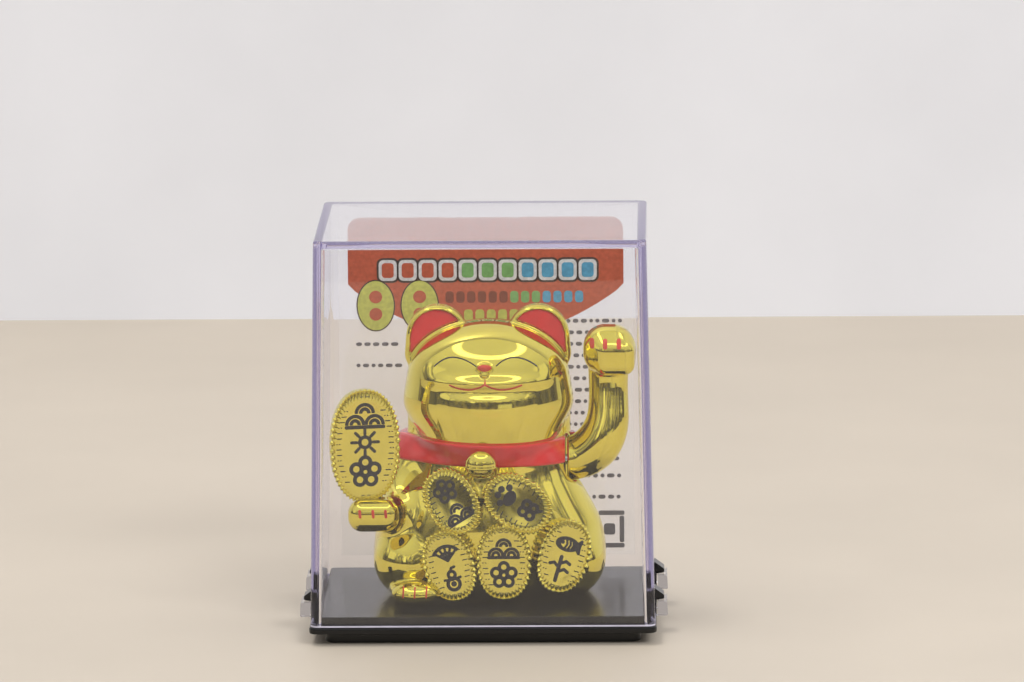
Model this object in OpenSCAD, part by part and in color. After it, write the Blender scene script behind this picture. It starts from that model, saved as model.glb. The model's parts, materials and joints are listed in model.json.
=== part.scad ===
// Solar beckoning cat in a clear display case.
// +Z is up, -Y is the front, and the origin is under the middle of the tray's foot.
// The raised arm swings about an X axis at the shoulder and carries the pendulum magnet.

/* [Tray] */
// Width of the tray's flange
flange_w = 65.6; // [62:0.1:72]
// Depth of the tray's flange
flange_d = 50.8; // [48:0.1:56]
// Thickness of the flange
flange_t = 1.3; // [1:0.1:2]
// Height of the inset foot under the flange
foot_h = 2.2; // [1.5:0.1:4]
// Distance that the foot stands in from the flange
foot_inset = 3; // [2:0.5:5]
// Height of the deck above the flange
deck_h = 1.7; // [1.2:0.1:3]

/* [Cover] */
// Outer width of the cover at its open bottom
cover_w = 65; // [62:0.1:70]
// Outer depth of the cover at its open bottom
cover_d = 50.2; // [48:0.1:54]
// Height of the cover
cover_h = 73.5; // [72:0.5:90]
// Wall of the cover
cover_wall = 1.5; // [1:0.1:2]
// How much narrower the cover is at its closed top
cover_draft = 2.6; // [1:0.1:3]
// Distance of the clips from the middle of each side
clip_y = 12; // [8:0.5:16]

/* [Cat] */
// Sideways place of the cat's middle plane
cat_x = 0.8; // [0:0.1:1]
// Front to back place of the cat's parting plane
cat_y = 3; // [2:0.5:4]
// Wall of the two body shells
shell_wall = 1.3; // [1:0.1:1.6]
// Height of the arm's axis above the deck
axis_h = 25.1; // [24:0.1:26]

/* [Mechanism] */
// Radius of the arm shaft
shaft_r = 1; // [0.8:0.1:1.2]
// Radial running clearance of the shaft in its bearings
shaft_gap = 0.05; // [0.03:0.01:0.08]
// Radius of the pendulum magnet
magnet_r = 4; // [3:0.5:4.5]
// Thickness of the pendulum magnet
magnet_t = 3; // [2:0.5:3]
// Distance from the shaft to the underside of the magnet
swing_r = 20; // [19:0.5:20]

/* [Hidden] */
$fn = 48;
flange_z = foot_h;
seat_z = foot_h + flange_t;
deck_z = seat_z + deck_h;
deck_w = cover_w - 2 * cover_wall - 0.6;
deck_d = cover_d - 2 * cover_wall - 0.6;
tray_wall = 1.4;
axis_z = deck_z + axis_h;
// thickness of the cat's floor plate
floor_t = 1.3;
// longer than anything that is cut with it
far = 60;
// clearance between mating plastic parts
fit = 0.3;
// radius of the thread of the tray screws, in their pillars
thread_r = 0.95;

// ---- helpers -------------------------------------------------------------------------------

// Upright block with rounded vertical edges, centred in X and Y.
module block(w, d, h, r) {
    linear_extrude(h) {
        square([w - 2 * r, d], center = true);
        square([w, d - 2 * r], center = true);
        for (sx = [-1, 1], sy = [-1, 1])
            translate([sx * (w / 2 - r), sy * (d / 2 - r)]) circle(r);
    }
}

// Ellipsoid with centre c and half axes r.
module egg(c, r, fn = 32) {
    translate(c) scale(r) sphere(1, $fn = fn);
}

// Cylinder along +X that starts at x = x0, on the line y = cy, z = cz.
module bar_x(x0, len, r, cy, cz) {
    translate([x0, cy, cz]) rotate([0, 90, 0]) cylinder(h = len, r = r);
}

// Outline of an oval coin: a superellipse with half axes a and b.
function oval(a, b, n = 48, e = 2.25) = [
    for (i = [0 : n - 1])
        let (c = cos(360 * i / n), s = sin(360 * i / n))
        [a * sign(c) * pow(abs(c), 2 / e), b * sign(s) * pow(abs(s), 2 / e)]
];

// Moves its children from the cat's own frame, which starts on the deck in the cat's middle.
module at_cat() {
    translate([cat_x, cat_y, deck_z]) children();
}

// Self-tapping screw that points up, with its head's underside at z = 0.
module screw(head_r, head_h, shank_r, len) {
    translate([0, 0, -head_h]) cylinder(h = head_h, r = head_r);
    cylinder(h = len, r = shank_r);
}

// ---- tray and case ---------------------------------------------------------------------------

tray_screw_x = 17;
tray_screw_len = 7;
screw_head_r = 1.8;
plate_screw_y = 8.5;

module tray_screw_places() {
    for (sx = [-1, 1]) translate([cat_x + sx * tray_screw_x, cat_y, 0]) children();
}

module base_tray() {
    boss_r = 3.2;
    color("#1b1a19") difference() {
        union() {
            block(flange_w - 2 * foot_inset, flange_d - 2 * foot_inset, foot_h, 2);
            translate([0, 0, flange_z]) block(flange_w, flange_d, flange_t, 1.6);
            translate([0, 0, seat_z]) block(deck_w, deck_d, deck_h, 1);
        }
        // hollow underside, with a boss round each screw
        difference() {
            translate([0, 0, -1])
                block(flange_w - 2 * foot_inset - 2 * tray_wall, flange_d - 2 * foot_inset - 2 * tray_wall,
                      deck_z - tray_wall + 1, 1);
            tray_screw_places() cylinder(h = deck_z, r = boss_r);
        }
        tray_screw_places() {
            translate([0, 0, -1]) cylinder(h = 1 + deck_z - tray_wall, r = screw_head_r + fit);
            cylinder(h = far, r = thread_r);
        }
    }
}

// the snap arms and the cover's loops, as distances from the middle of the case
arm_in = deck_w / 2 + 0.4;
arm_out = cover_w / 2 + 0.2;
arm_half = 2.1;
loop_in = arm_out + 0.25;
loop_out = cover_w / 2 + 2.4;
loop_h = 2.8;
barb_out = loop_out - 0.7;
barb_gap = 0.2;
barb_h = 2.2;
slot_gap = 0.4;

// Upright arm with an outward barb, for the +X side, standing on the flange at y = 0.
module snap_arm() {
    barb_z = seat_z + loop_h + barb_gap;
    tip_z = barb_z + barb_h;
    translate([0, arm_half, 0]) rotate([90, 0, 0]) linear_extrude(2 * arm_half)
        polygon([[arm_in, seat_z], [arm_out, seat_z], [arm_out, barb_z], [barb_out, barb_z],
                 [barb_out, barb_z + 0.7], [arm_out - 0.5, tip_z], [arm_in, tip_z]]);
}

module clip_places() {
    for (sx = [0, 1], sy = [-1, 1]) mirror([sx, 0, 0]) translate([0, sy * clip_y, 0]) children();
}

module snap_arms() {
    color("#1b1a19") clip_places() snap_arm();
}

module tray_screws() {
    color("silver") tray_screw_places()
        translate([0, 0, deck_z - tray_wall]) screw(screw_head_r, 1.2, thread_r, tray_screw_len);
}

// Drafted block of the cover, grown inwards by d on every side.
module cover_form(d, h) {
    slice = 0.01;
    edge = 0.4;
    top_w = cover_w - cover_draft - 2 * d;
    top_d = cover_d - cover_draft - 2 * d;
    corner = max(1.5 - d, 0.3);
    hull() {
        block(cover_w - 2 * d, cover_d - 2 * d, slice, corner, $fn = 24);
        translate([0, 0, h - edge - slice]) block(top_w, top_d, slice, corner, $fn = 24);
        translate([0, 0, h - slice])
            block(top_w - 2 * edge, top_d - 2 * edge, slice, max(corner - edge, 0.3), $fn = 24);
    }
}

// Loop of the cover that a snap arm hooks over, for the +X side.
module loop_posts() {
    post = 1.3;
    in = cover_w / 2 - 1.2;
    for (sy = [-1, 1])
        translate([in, sy * (arm_half + slot_gap + post / 2) - post / 2, seat_z])
            cube([loop_out - in, post, loop_h]);
    translate([loop_in, -arm_half - slot_gap - 0.1, seat_z])
        cube([loop_out - loop_in, 2 * (arm_half + slot_gap + 0.1), loop_h]);
}

module case_cover() {
    window_h = loop_h + barb_gap + barb_h + 0.6;
    slot_depth = 4.45;
    color("#dfe3f3", 0.3) difference() {
        union() {
            translate([0, 0, seat_z]) cover_form(0, cover_h);
            clip_places() loop_posts();
        }
        translate([0, 0, seat_z - 0.01]) cover_form(cover_wall, cover_h - cover_wall);
        clip_places()
            translate([loop_in - slot_depth, -arm_half - slot_gap, seat_z - 1])
                cube([slot_depth, 2 * (arm_half + slot_gap), window_h + 1]);
    }
}

// Clear printed film on the inside of the rear wall, which leans in with the wall.
module back_film() {
    film = [57, 0.2, 65.5];
    lean = atan(cover_draft / 2 / cover_h);
    back_y = cover_d / 2 - cover_wall;
    color("#e9e4de", 0.5)
        translate([0, back_y - 0.05, seat_z]) rotate([lean, 0, 0])
            translate([-film[0] / 2, -film[1] - 0.02, 4]) cube(film);
}

// ---- the cat ---------------------------------------------------------------------------------

// inner end of the swinging arm, and the scoop in the body that it turns in
hub_x = 15;
hub_gap = 0.4;
scoop_r = 4.9;

// Trunk, grown outwards by g.
module trunk(g) {
    low = g < 0 ? -1 : 0;
    hull() {
        egg([0, 0, 8], [22.3, 13.6, 10] + [g, g, g]);
        translate([0, 0, low]) scale([1.5, 1, 1]) cylinder(h = 0.1, r = 12.8 + g, $fn = 40);
    }
    hull() {
        egg([0, 0, 9.5], [21.8, 13.4, 9] + [g, g, g]);
        egg([0, 0, 18.5], [17.4, 12.2, 14] + [g, g, g]);
    }
}

// Head without its ears, grown outwards by g.
module head(g) {
    hull() {
        egg([0, -0.3, 40.6], [15.4, 13, 11.3] + [g, g, g]);
        egg([0, -0.3, 36.6], [16.1, 13.5, 7.9] + [g, g, g]);
    }
}

// Core that joins head and trunk, grown outwards by g.
module neck(g) {
    hull() {
        egg([0, -0.2, 26], [14, 11.4, 4] + [g, g, g]);
        egg([0, -0.3, 34], [14, 11.4, 4] + [g, g, g]);
    }
}

// Back of the neck, which is as wide as the cheeks.
module nape() {
    hull() {
        egg([0, 4.5, 27], [15.4, 8, 4]);
        egg([0, 4.5, 37], [15.7, 8, 4]);
    }
}

// Ear on one side; s is -1 or 1.
module ear(s) {
    hull() {
        egg([s * 13.4, 0.5, 46.4], [2.2, 2.6, 2.4]);
        egg([s * 6, 0, 49.8], [2.2, 2.8, 2]);
        egg([s * 10, 0, 53.3], [2.9, 1.8, 2.4]);
    }
}

// Rounded limb between two eggs, each given as [centre, half axes].
module limb(a, b) {
    hull() {
        egg(a[0], a[1]);
        egg(b[0], b[1]);
    }
}

// Everything of the cat that the two shells form, as one solid.
module cat_solid() {
    difference() {
        union() {
            trunk(0);
            neck(0);
            nape();
            head(0);
            ear(-1);
            ear(1);
            // haunches, foot, then upper arm and forearm of the coin's side
            limb([[-14.5, -4.5, 6.2], [7.4, 8, 6.6]], [[-14, -5, 3], [6.4, 7, 3.4]]);
            limb([[14.5, -3.5, 6.2], [7.4, 8, 6.6]], [[14, -4, 3], [6.4, 7, 3.4]]);
            limb([[-14.4, -9, 3.1], [3.8, 4.4, 2.5]], [[-14.4, -12.6, 2.7], [3.9, 3.6, 2.4]]);
            limb([[-14.2, 0, 23], [4, 5, 4.4]], [[-17.8, -3, 16.4], [3.9, 4.4, 3.9]]);
            limb([[-17.8, -3, 16.4], [3.8, 4.4, 3.7]], [[-21.6, -11.4, 15.9], [4.6, 3.6, 2.9]]);
        }
        translate([0, 0, -far]) cube(2 * far, center = true);
        // scoop that the arm's root turns in
        bar_x(hub_x - hub_gap, far, scoop_r, 0, axis_h);
    }
}

// Space inside the shells.
module cat_hollow() {
    difference() {
        union() {
            trunk(-shell_wall);
            head(-shell_wall);
            neck(-1.5 * shell_wall);
        }
        bar_x(hub_x - hub_gap - shell_wall, far, scoop_r + shell_wall, 0, axis_h);
    }
}

module cat_shell() {
    difference() {
        cat_solid();
        cat_hollow();
        // floor opening for the bottom plate
        translate([0, 0, -1]) linear_extrude(1 + floor_t) polygon(oval(plate_a + 0.1, plate_b + 0.1));
        // hole for the shaft
        bar_x(8, far, shaft_r + 0.5, 0, axis_h);
    }
}

module front_half() {
    translate([0, -far, 0]) cube(2 * far, center = true);
}

module back_half() {
    translate([0, far, 0]) cube(2 * far, center = true);
}

// half axes of the cat's floor plate, and its two screw pillars
plate_a = 17.5;
plate_b = 10.7;
pillar_r = 2.7;
pillar_h = 8;

// Upright cylinders on the places of the tray screws, from z0 to z1.
module pillars(r, z0, z1) {
    for (sx = [-1, 1]) translate([sx * tray_screw_x, 0, z0]) cylinder(h = z1 - z0, r = r);
}

module front_shell() {
    color("#cdbd45") at_cat() difference() {
        intersection() {
            cat_shell();
            front_half();
        }
        pillars(pillar_r + fit, -1, 12);
        collar_facets(0.03);
        bell_solid(0.05);
    }
}

module back_shell() {
    color("#cdbd45") at_cat() difference() {
        intersection() {
            cat_shell();
            back_half();
        }
        // pocket of the solar cell
        cell_place() cube([cell_w + fit, 30, cell_h + fit], center = true);
        pillars(pillar_r + fit, -1, 12);
        collar_facets(0.03);
    }
}

// The plate that closes the cat's floor, with the two screw pillars.
module bottom_plate() {
    color("#b9ab3a") at_cat() difference() {
        union() {
            linear_extrude(floor_t) polygon(oval(plate_a, plate_b));
            pillars(pillar_r, 0, pillar_h);
        }
        pillars(thread_r, -1, pillar_h - 0.8);
        for (sy = [-1, 1]) translate([0, sy * plate_screw_y, -1]) cylinder(h = 4, r = 0.8);
    }
}

module plate_screws() {
    color("silver") at_cat()
        for (sy = [-1, 1]) translate([0, sy * plate_screw_y, 0.8]) screw(0.8, 0.7, 0.8, 4);
}

// Red ring between head and trunk, grown outwards by g: a loop of short straight blocks.
module collar_facets(g = 0) {
    n = 36;
    for (i = [0 : n - 1]) hull() {
        for (k = [i, i + 1])
            translate([15 * cos(360 * k / n) - 0.4, 12.3 * sin(360 * k / n) - 0.2, 27.9])
                scale([1.1 + g, 1.1 + g, 2 + g]) sphere(1, $fn = 10);
    }
}

module collar() {
    color("#c0362c") at_cat() difference() {
        collar_facets();
        bar_x(hub_x - hub_gap, far, scoop_r, 0, axis_h);
        bar_x(8, far, shaft_r + 0.5, 0, axis_h);
    }
}

// Bell under the chin, grown outwards by g.
module bell_solid(g) {
    hull() {
        egg([-1.2, -14.5, 27], [3 + g, 2.4 + g, 2.5 + g], 24);
        egg([-1.2, -12.8, 27], [2.4 + g, 1.5 + g, 2 + g], 24);
    }
}

module bell() {
    color("#d2bf4a") at_cat() difference() {
        bell_solid(0);
        translate([-1.2, -16, 26.1]) cube([4.4, 3, 0.4], center = true);
        collar_facets();
    }
}

// Oval coin in its own plane: face towards -Y, centre at the middle of the face.
module coin(a, b, back) {
    rim = 0.9;
    sunk = 0.35;
    rotate([90, 0, 0]) difference() {
        translate([0, 0, -back]) linear_extrude(back) polygon(oval(a, b));
        translate([0, 0, -sunk]) linear_extrude(1) polygon(oval(a - rim, b - rim));
    }
}

// Coin at place p, turned by yaw about Z, leaning back, and rolled in its own plane.
module coin_at(p, yaw, lean, roll, a, b, back) {
    translate(p) rotate([0, 0, yaw]) rotate([-lean, 0, 0]) rotate([0, roll, 0]) coin(a, b, back);
}

// Belly coins: place, yaw, lean, roll and half axes. The low row lies over the chest row.
belly_coins = [
    [[-6.9, -15.2, 19.9], -10, 9, -33, 5.2, 6.8],
    [[5.8, -15.1, 19.5], 10, 9, -56, 5, 7.1],
    [[-7.4, -16.7, 7.7], -6, 1, -15, 5.1, 7.1],
    [[3, -16.6, 8.3], 0, 1, 0, 5.4, 7.4],
    [[14.6, -13.7, 8.9], 24, 2, 20, 5.5, 7.3]
];

// Coin i of the belly at full depth, grown by grow.
module belly_prism(i, grow) {
    c = belly_coins[i];
    depth = 6;
    coin_at(c[0], c[1], c[2], c[3], c[4] + grow, c[5] + grow, depth + grow);
}

// Coin i of the belly, cut back to the cat's surface and to the coins in the list over.
module belly_coin(i, over) {
    color("#c9b640") at_cat() difference() {
        belly_prism(i, 0);
        cat_solid();
        bell_solid(0.1);
        collar_facets();
        for (k = over) belly_prism(k, 0.05);
    }
}

module koban_chest_left() {
    belly_coin(0, [2, 3]);
}

module koban_chest_right() {
    belly_coin(1, [0, 3, 4]);
}

module koban_low_left() {
    belly_coin(2, []);
}

module koban_low_mid() {
    belly_coin(3, [2]);
}

module koban_low_right() {
    belly_coin(4, [3]);
}

module held_koban() {
    color("#c9b640") at_cat() difference() {
        coin_at([-23.1, -11.8, 30], 12, 0, 0, 6.9, 11.1, 2.6);
        cat_solid();
    }
}

// ---- mechanism inside the cat ----------------------------------------------------------------

// the plate on the cat's floor, and the two cheeks that the shaft turns in
frame_z = floor_t;
frame_t = 0.8;
cheek_t = 1.5;
cheek_r = 3;
cheek_x = [-4.5, 9];
frame_screw = [-10.5, -5.5];
frame_screw_r = 0.6;

module mechanism_frame() {
    color("ivory") at_cat() difference() {
        union() {
            translate([-12.5, -7.2, frame_z]) cube([24, 14.4, frame_t]);
            for (x = cheek_x) {
                translate([x, -cheek_r, frame_z]) cube([cheek_t, 2 * cheek_r, axis_h - frame_z]);
                bar_x(x, cheek_t, cheek_r, 0, axis_h);
            }
        }
        bar_x(-far, 2 * far, shaft_r + shaft_gap, 0, axis_h);
        translate([frame_screw[0], frame_screw[1], 0]) cylinder(h = 5, r = frame_screw_r);
    }
}

module frame_screws() {
    color("silver") at_cat() translate([frame_screw[0], frame_screw[1], frame_z + frame_t])
        rotate([180, 0, 0]) screw(1.1, 0.6, frame_screw_r, frame_t);
}

// the coil lies under the magnet, on the frame's plate
coil_x = 4.2;
coil_z = frame_z + frame_t;
coil_h = 2.1;
coil_core_r = 1.6;
flange = 0.4;

module coil_bobbin() {
    color("white") at_cat() translate([coil_x, 0, coil_z]) difference() {
        union() {
            cylinder(h = flange, r = 4.2);
            translate([0, 0, coil_h - flange]) cylinder(h = flange, r = 4.2);
            cylinder(h = coil_h, r = coil_core_r);
        }
        translate([0, 0, -1]) cylinder(h = coil_h + 2, r = 0.9);
    }
}

module coil_winding() {
    color("#b4642d") at_cat() translate([coil_x, 0, coil_z + flange]) difference() {
        cylinder(h = coil_h - 2 * flange, r = 3.9);
        translate([0, 0, -1]) cylinder(h = coil_h + 2, r = coil_core_r);
    }
}

board_z = coil_z;
board_t = 0.8;

module circuit_board() {
    color("#2f6b3c") at_cat() translate([-12, -4, board_z]) cube([7.2, 10, board_t]);
}

module drive_chip() {
    color("#161616") at_cat() translate([-10.6, -2.6, board_z + board_t]) cube([3.4, 3, 1]);
}

module capacitor() {
    color("#2b3550") at_cat() translate([-9, 3.2, board_z + board_t]) cylinder(h = 6, r = 2);
}

cell_w = 17;
cell_h = 12;
cell_t = 1.2;

// Place of the solar cell in the cat's back, facing up and back.
module cell_place() {
    translate([0, 11.9, 16]) rotate([14, 0, 0]) children();
}

module solar_cell() {
    color("#2a1f2b") at_cat() cell_place() cube([cell_w, cell_t, cell_h], center = true);
}

// Points of one lead from the cell down to the board; s picks the left or right lead.
function lead_at(s, t) =
    let (u = 1 - t)
    pow(u, 3) * [s - 1, 10.9, 13] + 3 * u * u * t * [s - 1, 6, 12]
    + 3 * u * t * t * [s - 6.2, 9.5, 6] + pow(t, 3) * [s - 7, 5.4, board_z + board_t + 0.35];

// Round insulated wire from the cell to the board.
module lead(s) {
    n = 14;
    sides = 8;
    r = 0.3;
    pts = [for (i = [0 : n]) lead_at(s, i / n)];
    ring = [
        for (i = [0 : n])
            let (d = pts[min(i + 1, n)] - pts[max(i - 1, 0)], f = d / norm(d),
                 a = cross(f, [1, 0, 0]) / norm(cross(f, [1, 0, 0])), b = cross(f, a))
            for (k = [0 : sides - 1]) pts[i] + r * (cos(360 * k / sides) * a + sin(360 * k / sides) * b)
    ];
    walls = [
        for (i = [0 : n - 1], k = [0 : sides - 1])
            let (next = (k + 1) % sides, low = i * sides, high = low + sides)
            [high + k, high + next, low + next, low + k]
    ];
    first = [for (k = [0 : sides - 1]) k];
    last = [for (k = [sides - 1 : -1 : 0]) n * sides + k];
    polyhedron(ring, concat([first], walls, [last]));
}

module cell_leads() {
    color("#b02020") at_cat() {
        lead(-0.8);
        lead(0.8);
    }
}

// ---- swinging arm ----------------------------------------------------------------------------

// Arm as a chain of blended balls, in the arm's own frame: x from the cat's middle, z from the axis.
// Each entry is [x, y, z, rx, ry, rz].
arm_chain = [
    [17.6, 0, 0.1, 3.6, 4, 4],
    [20.6, 0, 1.4, 4, 4, 4],
    [22.4, 0, 5.2, 4.1, 4, 4.1],
    [22.6, 0.2, 13.5, 4, 4, 4.1],
    [22.9, 0.2, 18, 4.2, 4.2, 4.2],
    [23.3, -2.4, 21.5, 4.9, 4.8, 4.8]
];

// The chain as one solid, grown outwards by g.
module arm_form(g) {
    for (i = [0 : len(arm_chain) - 2]) hull() {
        for (k = [i, i + 1]) {
            c = arm_chain[k];
            egg([c[0], c[1], c[2]], [c[3] + g, c[4] + g, c[5] + g], 24);
        }
    }
}

module arm_shell() {
    arm_wall = 1.2;
    hub_r = 3.9;
    socket_r = 2.4;
    difference() {
        union() {
            arm_form(0);
            bar_x(hub_x, 3, hub_r, 0, 0);
        }
        difference() {
            arm_form(-arm_wall);
            bar_x(hub_x - 1, 6, socket_r, 0, 0);
        }
        bar_x(hub_x - 1, shaft_end - hub_x + 1, shaft_r, 0, 0);
        translate([hub_x - far, -far / 2, -far / 2]) cube(far);
    }
}

// outer end of the arm shaft
shaft_end = 19;

// Moves its children from the arm's own frame, which starts on the shoulder axis.
module at_axis() {
    translate([cat_x, cat_y, axis_z]) children();
}

module arm_front_shell() {
    color("#cdbd45") at_axis() intersection() {
        arm_shell();
        front_half();
    }
}

module arm_back_shell() {
    color("#cdbd45") at_axis() intersection() {
        arm_shell();
        back_half();
    }
}

module arm_shaft() {
    start = cheek_x[0] - 2.2;
    color("silver") at_axis() bar_x(start, shaft_end - start, shaft_r, 0, 0);
}

// Ring on the shaft outside the left cheek, which keeps the shaft in place.
module shaft_clip() {
    color("silver") at_axis() difference() {
        bar_x(cheek_x[0] - 0.9, 0.7, 2.2, 0, 0);
        bar_x(cheek_x[0] - 2, 3, shaft_r, 0, 0);
    }
}

// Lever that hangs from the shaft and carries the magnet over the coil.
module pendulum() {
    lever_w = 2.6;
    lever_d = 2.8;
    hub_len = 6;
    cup_z = -swing_r + magnet_t;
    color("white") at_axis() difference() {
        union() {
            bar_x(coil_x - hub_len / 2, hub_len, 2.4, 0, 0);
            translate([coil_x - lever_w / 2, -lever_d / 2, cup_z + 0.1]) cube([lever_w, lever_d, -cup_z]);
            translate([coil_x, 0, cup_z]) cylinder(h = 1, r = magnet_r);
        }
        bar_x(coil_x - hub_len, 2 * hub_len, shaft_r, 0, 0);
    }
}

module pendulum_magnet() {
    color("#6e6e72") at_axis() translate([coil_x, 0, -swing_r]) cylinder(h = magnet_t, r = magnet_r);
}

// ---- nodes -----------------------------------------------------------------------------------

base_tray();
snap_arms();
tray_screws();
front_shell();
back_shell();
bottom_plate();
plate_screws();
collar();
bell();
koban_chest_left();
koban_chest_right();
koban_low_left();
koban_low_mid();
koban_low_right();
held_koban();
mechanism_frame();
frame_screws();
coil_bobbin();
coil_winding();
circuit_board();
drive_chip();
capacitor();
solar_cell();
cell_leads();
arm_front_shell();
arm_back_shell();
arm_shaft();
shaft_clip();
pendulum();
pendulum_magnet();
case_cover();
back_film();
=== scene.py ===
import json
import math

import bpy
import numpy as np
from mathutils import Matrix, Vector


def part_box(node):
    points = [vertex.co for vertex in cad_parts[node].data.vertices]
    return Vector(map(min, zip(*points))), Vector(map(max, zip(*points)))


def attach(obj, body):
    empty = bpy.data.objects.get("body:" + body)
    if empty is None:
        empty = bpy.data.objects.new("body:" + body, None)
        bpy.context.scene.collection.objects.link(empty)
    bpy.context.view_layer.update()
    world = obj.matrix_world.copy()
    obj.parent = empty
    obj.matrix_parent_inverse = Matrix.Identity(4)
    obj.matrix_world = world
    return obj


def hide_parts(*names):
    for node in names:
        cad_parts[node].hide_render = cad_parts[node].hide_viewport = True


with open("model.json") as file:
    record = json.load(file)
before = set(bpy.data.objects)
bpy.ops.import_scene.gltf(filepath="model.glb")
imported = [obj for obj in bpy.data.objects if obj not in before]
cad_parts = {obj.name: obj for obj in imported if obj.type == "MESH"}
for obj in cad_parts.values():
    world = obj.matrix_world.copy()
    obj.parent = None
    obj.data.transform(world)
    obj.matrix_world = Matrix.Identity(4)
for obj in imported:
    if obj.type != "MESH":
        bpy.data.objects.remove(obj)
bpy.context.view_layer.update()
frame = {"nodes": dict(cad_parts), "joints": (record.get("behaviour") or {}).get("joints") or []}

MM = 0.001

# ---- places taken from the frame (millimetres)

AXIS = np.array(next(j for j in frame["joints"] if j["name"] == "arm_swing")["pos_m"]) / MM


def node_box(name):
    """Lowest and highest corner of a CAD node, in millimetres."""
    low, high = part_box(name)
    return np.array(low) / MM, np.array(high) / MM


TRAY_LO, TRAY_HI = node_box("base_tray")
COVER_LO, COVER_HI = node_box("case_cover")
FILM_LO, FILM_HI = node_box("back_film")
CELL_LO, CELL_HI = node_box("solar_cell")
DECK_Z = TRAY_HI[2]
SEAT_Z = COVER_LO[2]
CAT = np.array([AXIS[0], AXIS[1], DECK_Z])
AXIS_H = AXIS[2] - DECK_Z

# ---- distance fields
# A form is a function of x, y, z in millimetres that is negative inside.


def length(*v):
    return np.sqrt(sum(c * c for c in v))


def egg(p, c, r):
    """Ellipsoid with centre c and half axes r."""
    q = [(p[i] - c[i]) / r[i] for i in range(3)]
    k0 = length(*q)
    k1 = length(*[q[i] / r[i] for i in range(3)])
    return k0 * (k0 - 1.0) / np.maximum(k1, 1e-6)


def smin(a, b, k):
    """Union of two forms with a blend about k wide."""
    h = np.clip(0.5 + 0.5 * (b - a) / k, 0.0, 1.0)
    return b + (a - b) * h - k * h * (1.0 - h)


def smax(a, b, k):
    """Intersection of two forms with a rounded edge about k wide."""
    return -smin(-a, -b, k)


def limb(p, points, radii, k=0.01):
    """Tube through the points, with its radius changing from point to point."""
    d = None
    for a, b, ra, rb in zip(points[:-1], points[1:], radii[:-1], radii[1:]):
        ab = [b[i] - a[i] for i in range(3)]
        size = sum(c * c for c in ab)
        t = np.clip(sum((p[i] - a[i]) * ab[i] for i in range(3)) / size, 0.0, 1.0)
        part = length(*[p[i] - a[i] - t * ab[i] for i in range(3)]) - (ra + (rb - ra) * t)
        d = part if d is None else smin(d, part, k)
    return d


def pad(p, c, half, r):
    """Box with centre c, half sizes and rounding r."""
    q = [np.abs(p[i] - c[i]) - half[i] + r for i in range(3)]
    outside = length(*[np.maximum(v, 0.0) for v in q])
    return outside + np.minimum(np.maximum(np.maximum(q[0], q[1]), q[2]), 0.0) - r


def stroke(x, z, points, width):
    """Distance to a line through points, in the front view."""
    d = None
    for a, b in zip(points[:-1], points[1:]):
        ab = (b[0] - a[0], b[1] - a[1])
        t = np.clip(((x - a[0]) * ab[0] + (z - a[1]) * ab[1]) / (ab[0] ** 2 + ab[1] ** 2), 0.0, 1.0)
        part = length(x - a[0] - t * ab[0], z - a[1] - t * ab[1]) - width / 2
        d = part if d is None else np.minimum(d, part)
    return d


# ---- meshing


def at(form, p):
    """Values of a form at points p."""
    return form((p[:, 0], p[:, 1], p[:, 2]))


def gradient(form, p, step=0.02):
    """Direction in which a form grows, at points p."""
    g = np.zeros_like(p)
    for i in range(3):
        ahead = step * np.eye(3)[i]
        g[:, i] = at(form, p + ahead) - at(form, p - ahead)
    return g / (2 * step)


def settle(form, p, reach, rounds=4):
    """Moves points onto a form's surface, each by at most reach in a round."""
    for _ in range(rounds):
        g = gradient(form, p)
        move = -(at(form, p) / np.maximum((g * g).sum(1), 0.05))[:, None] * g
        far = np.linalg.norm(move, axis=1)
        move *= np.minimum(1.0, reach / np.maximum(far, 1e-9))[:, None]
        p = p + move
    return p


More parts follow.
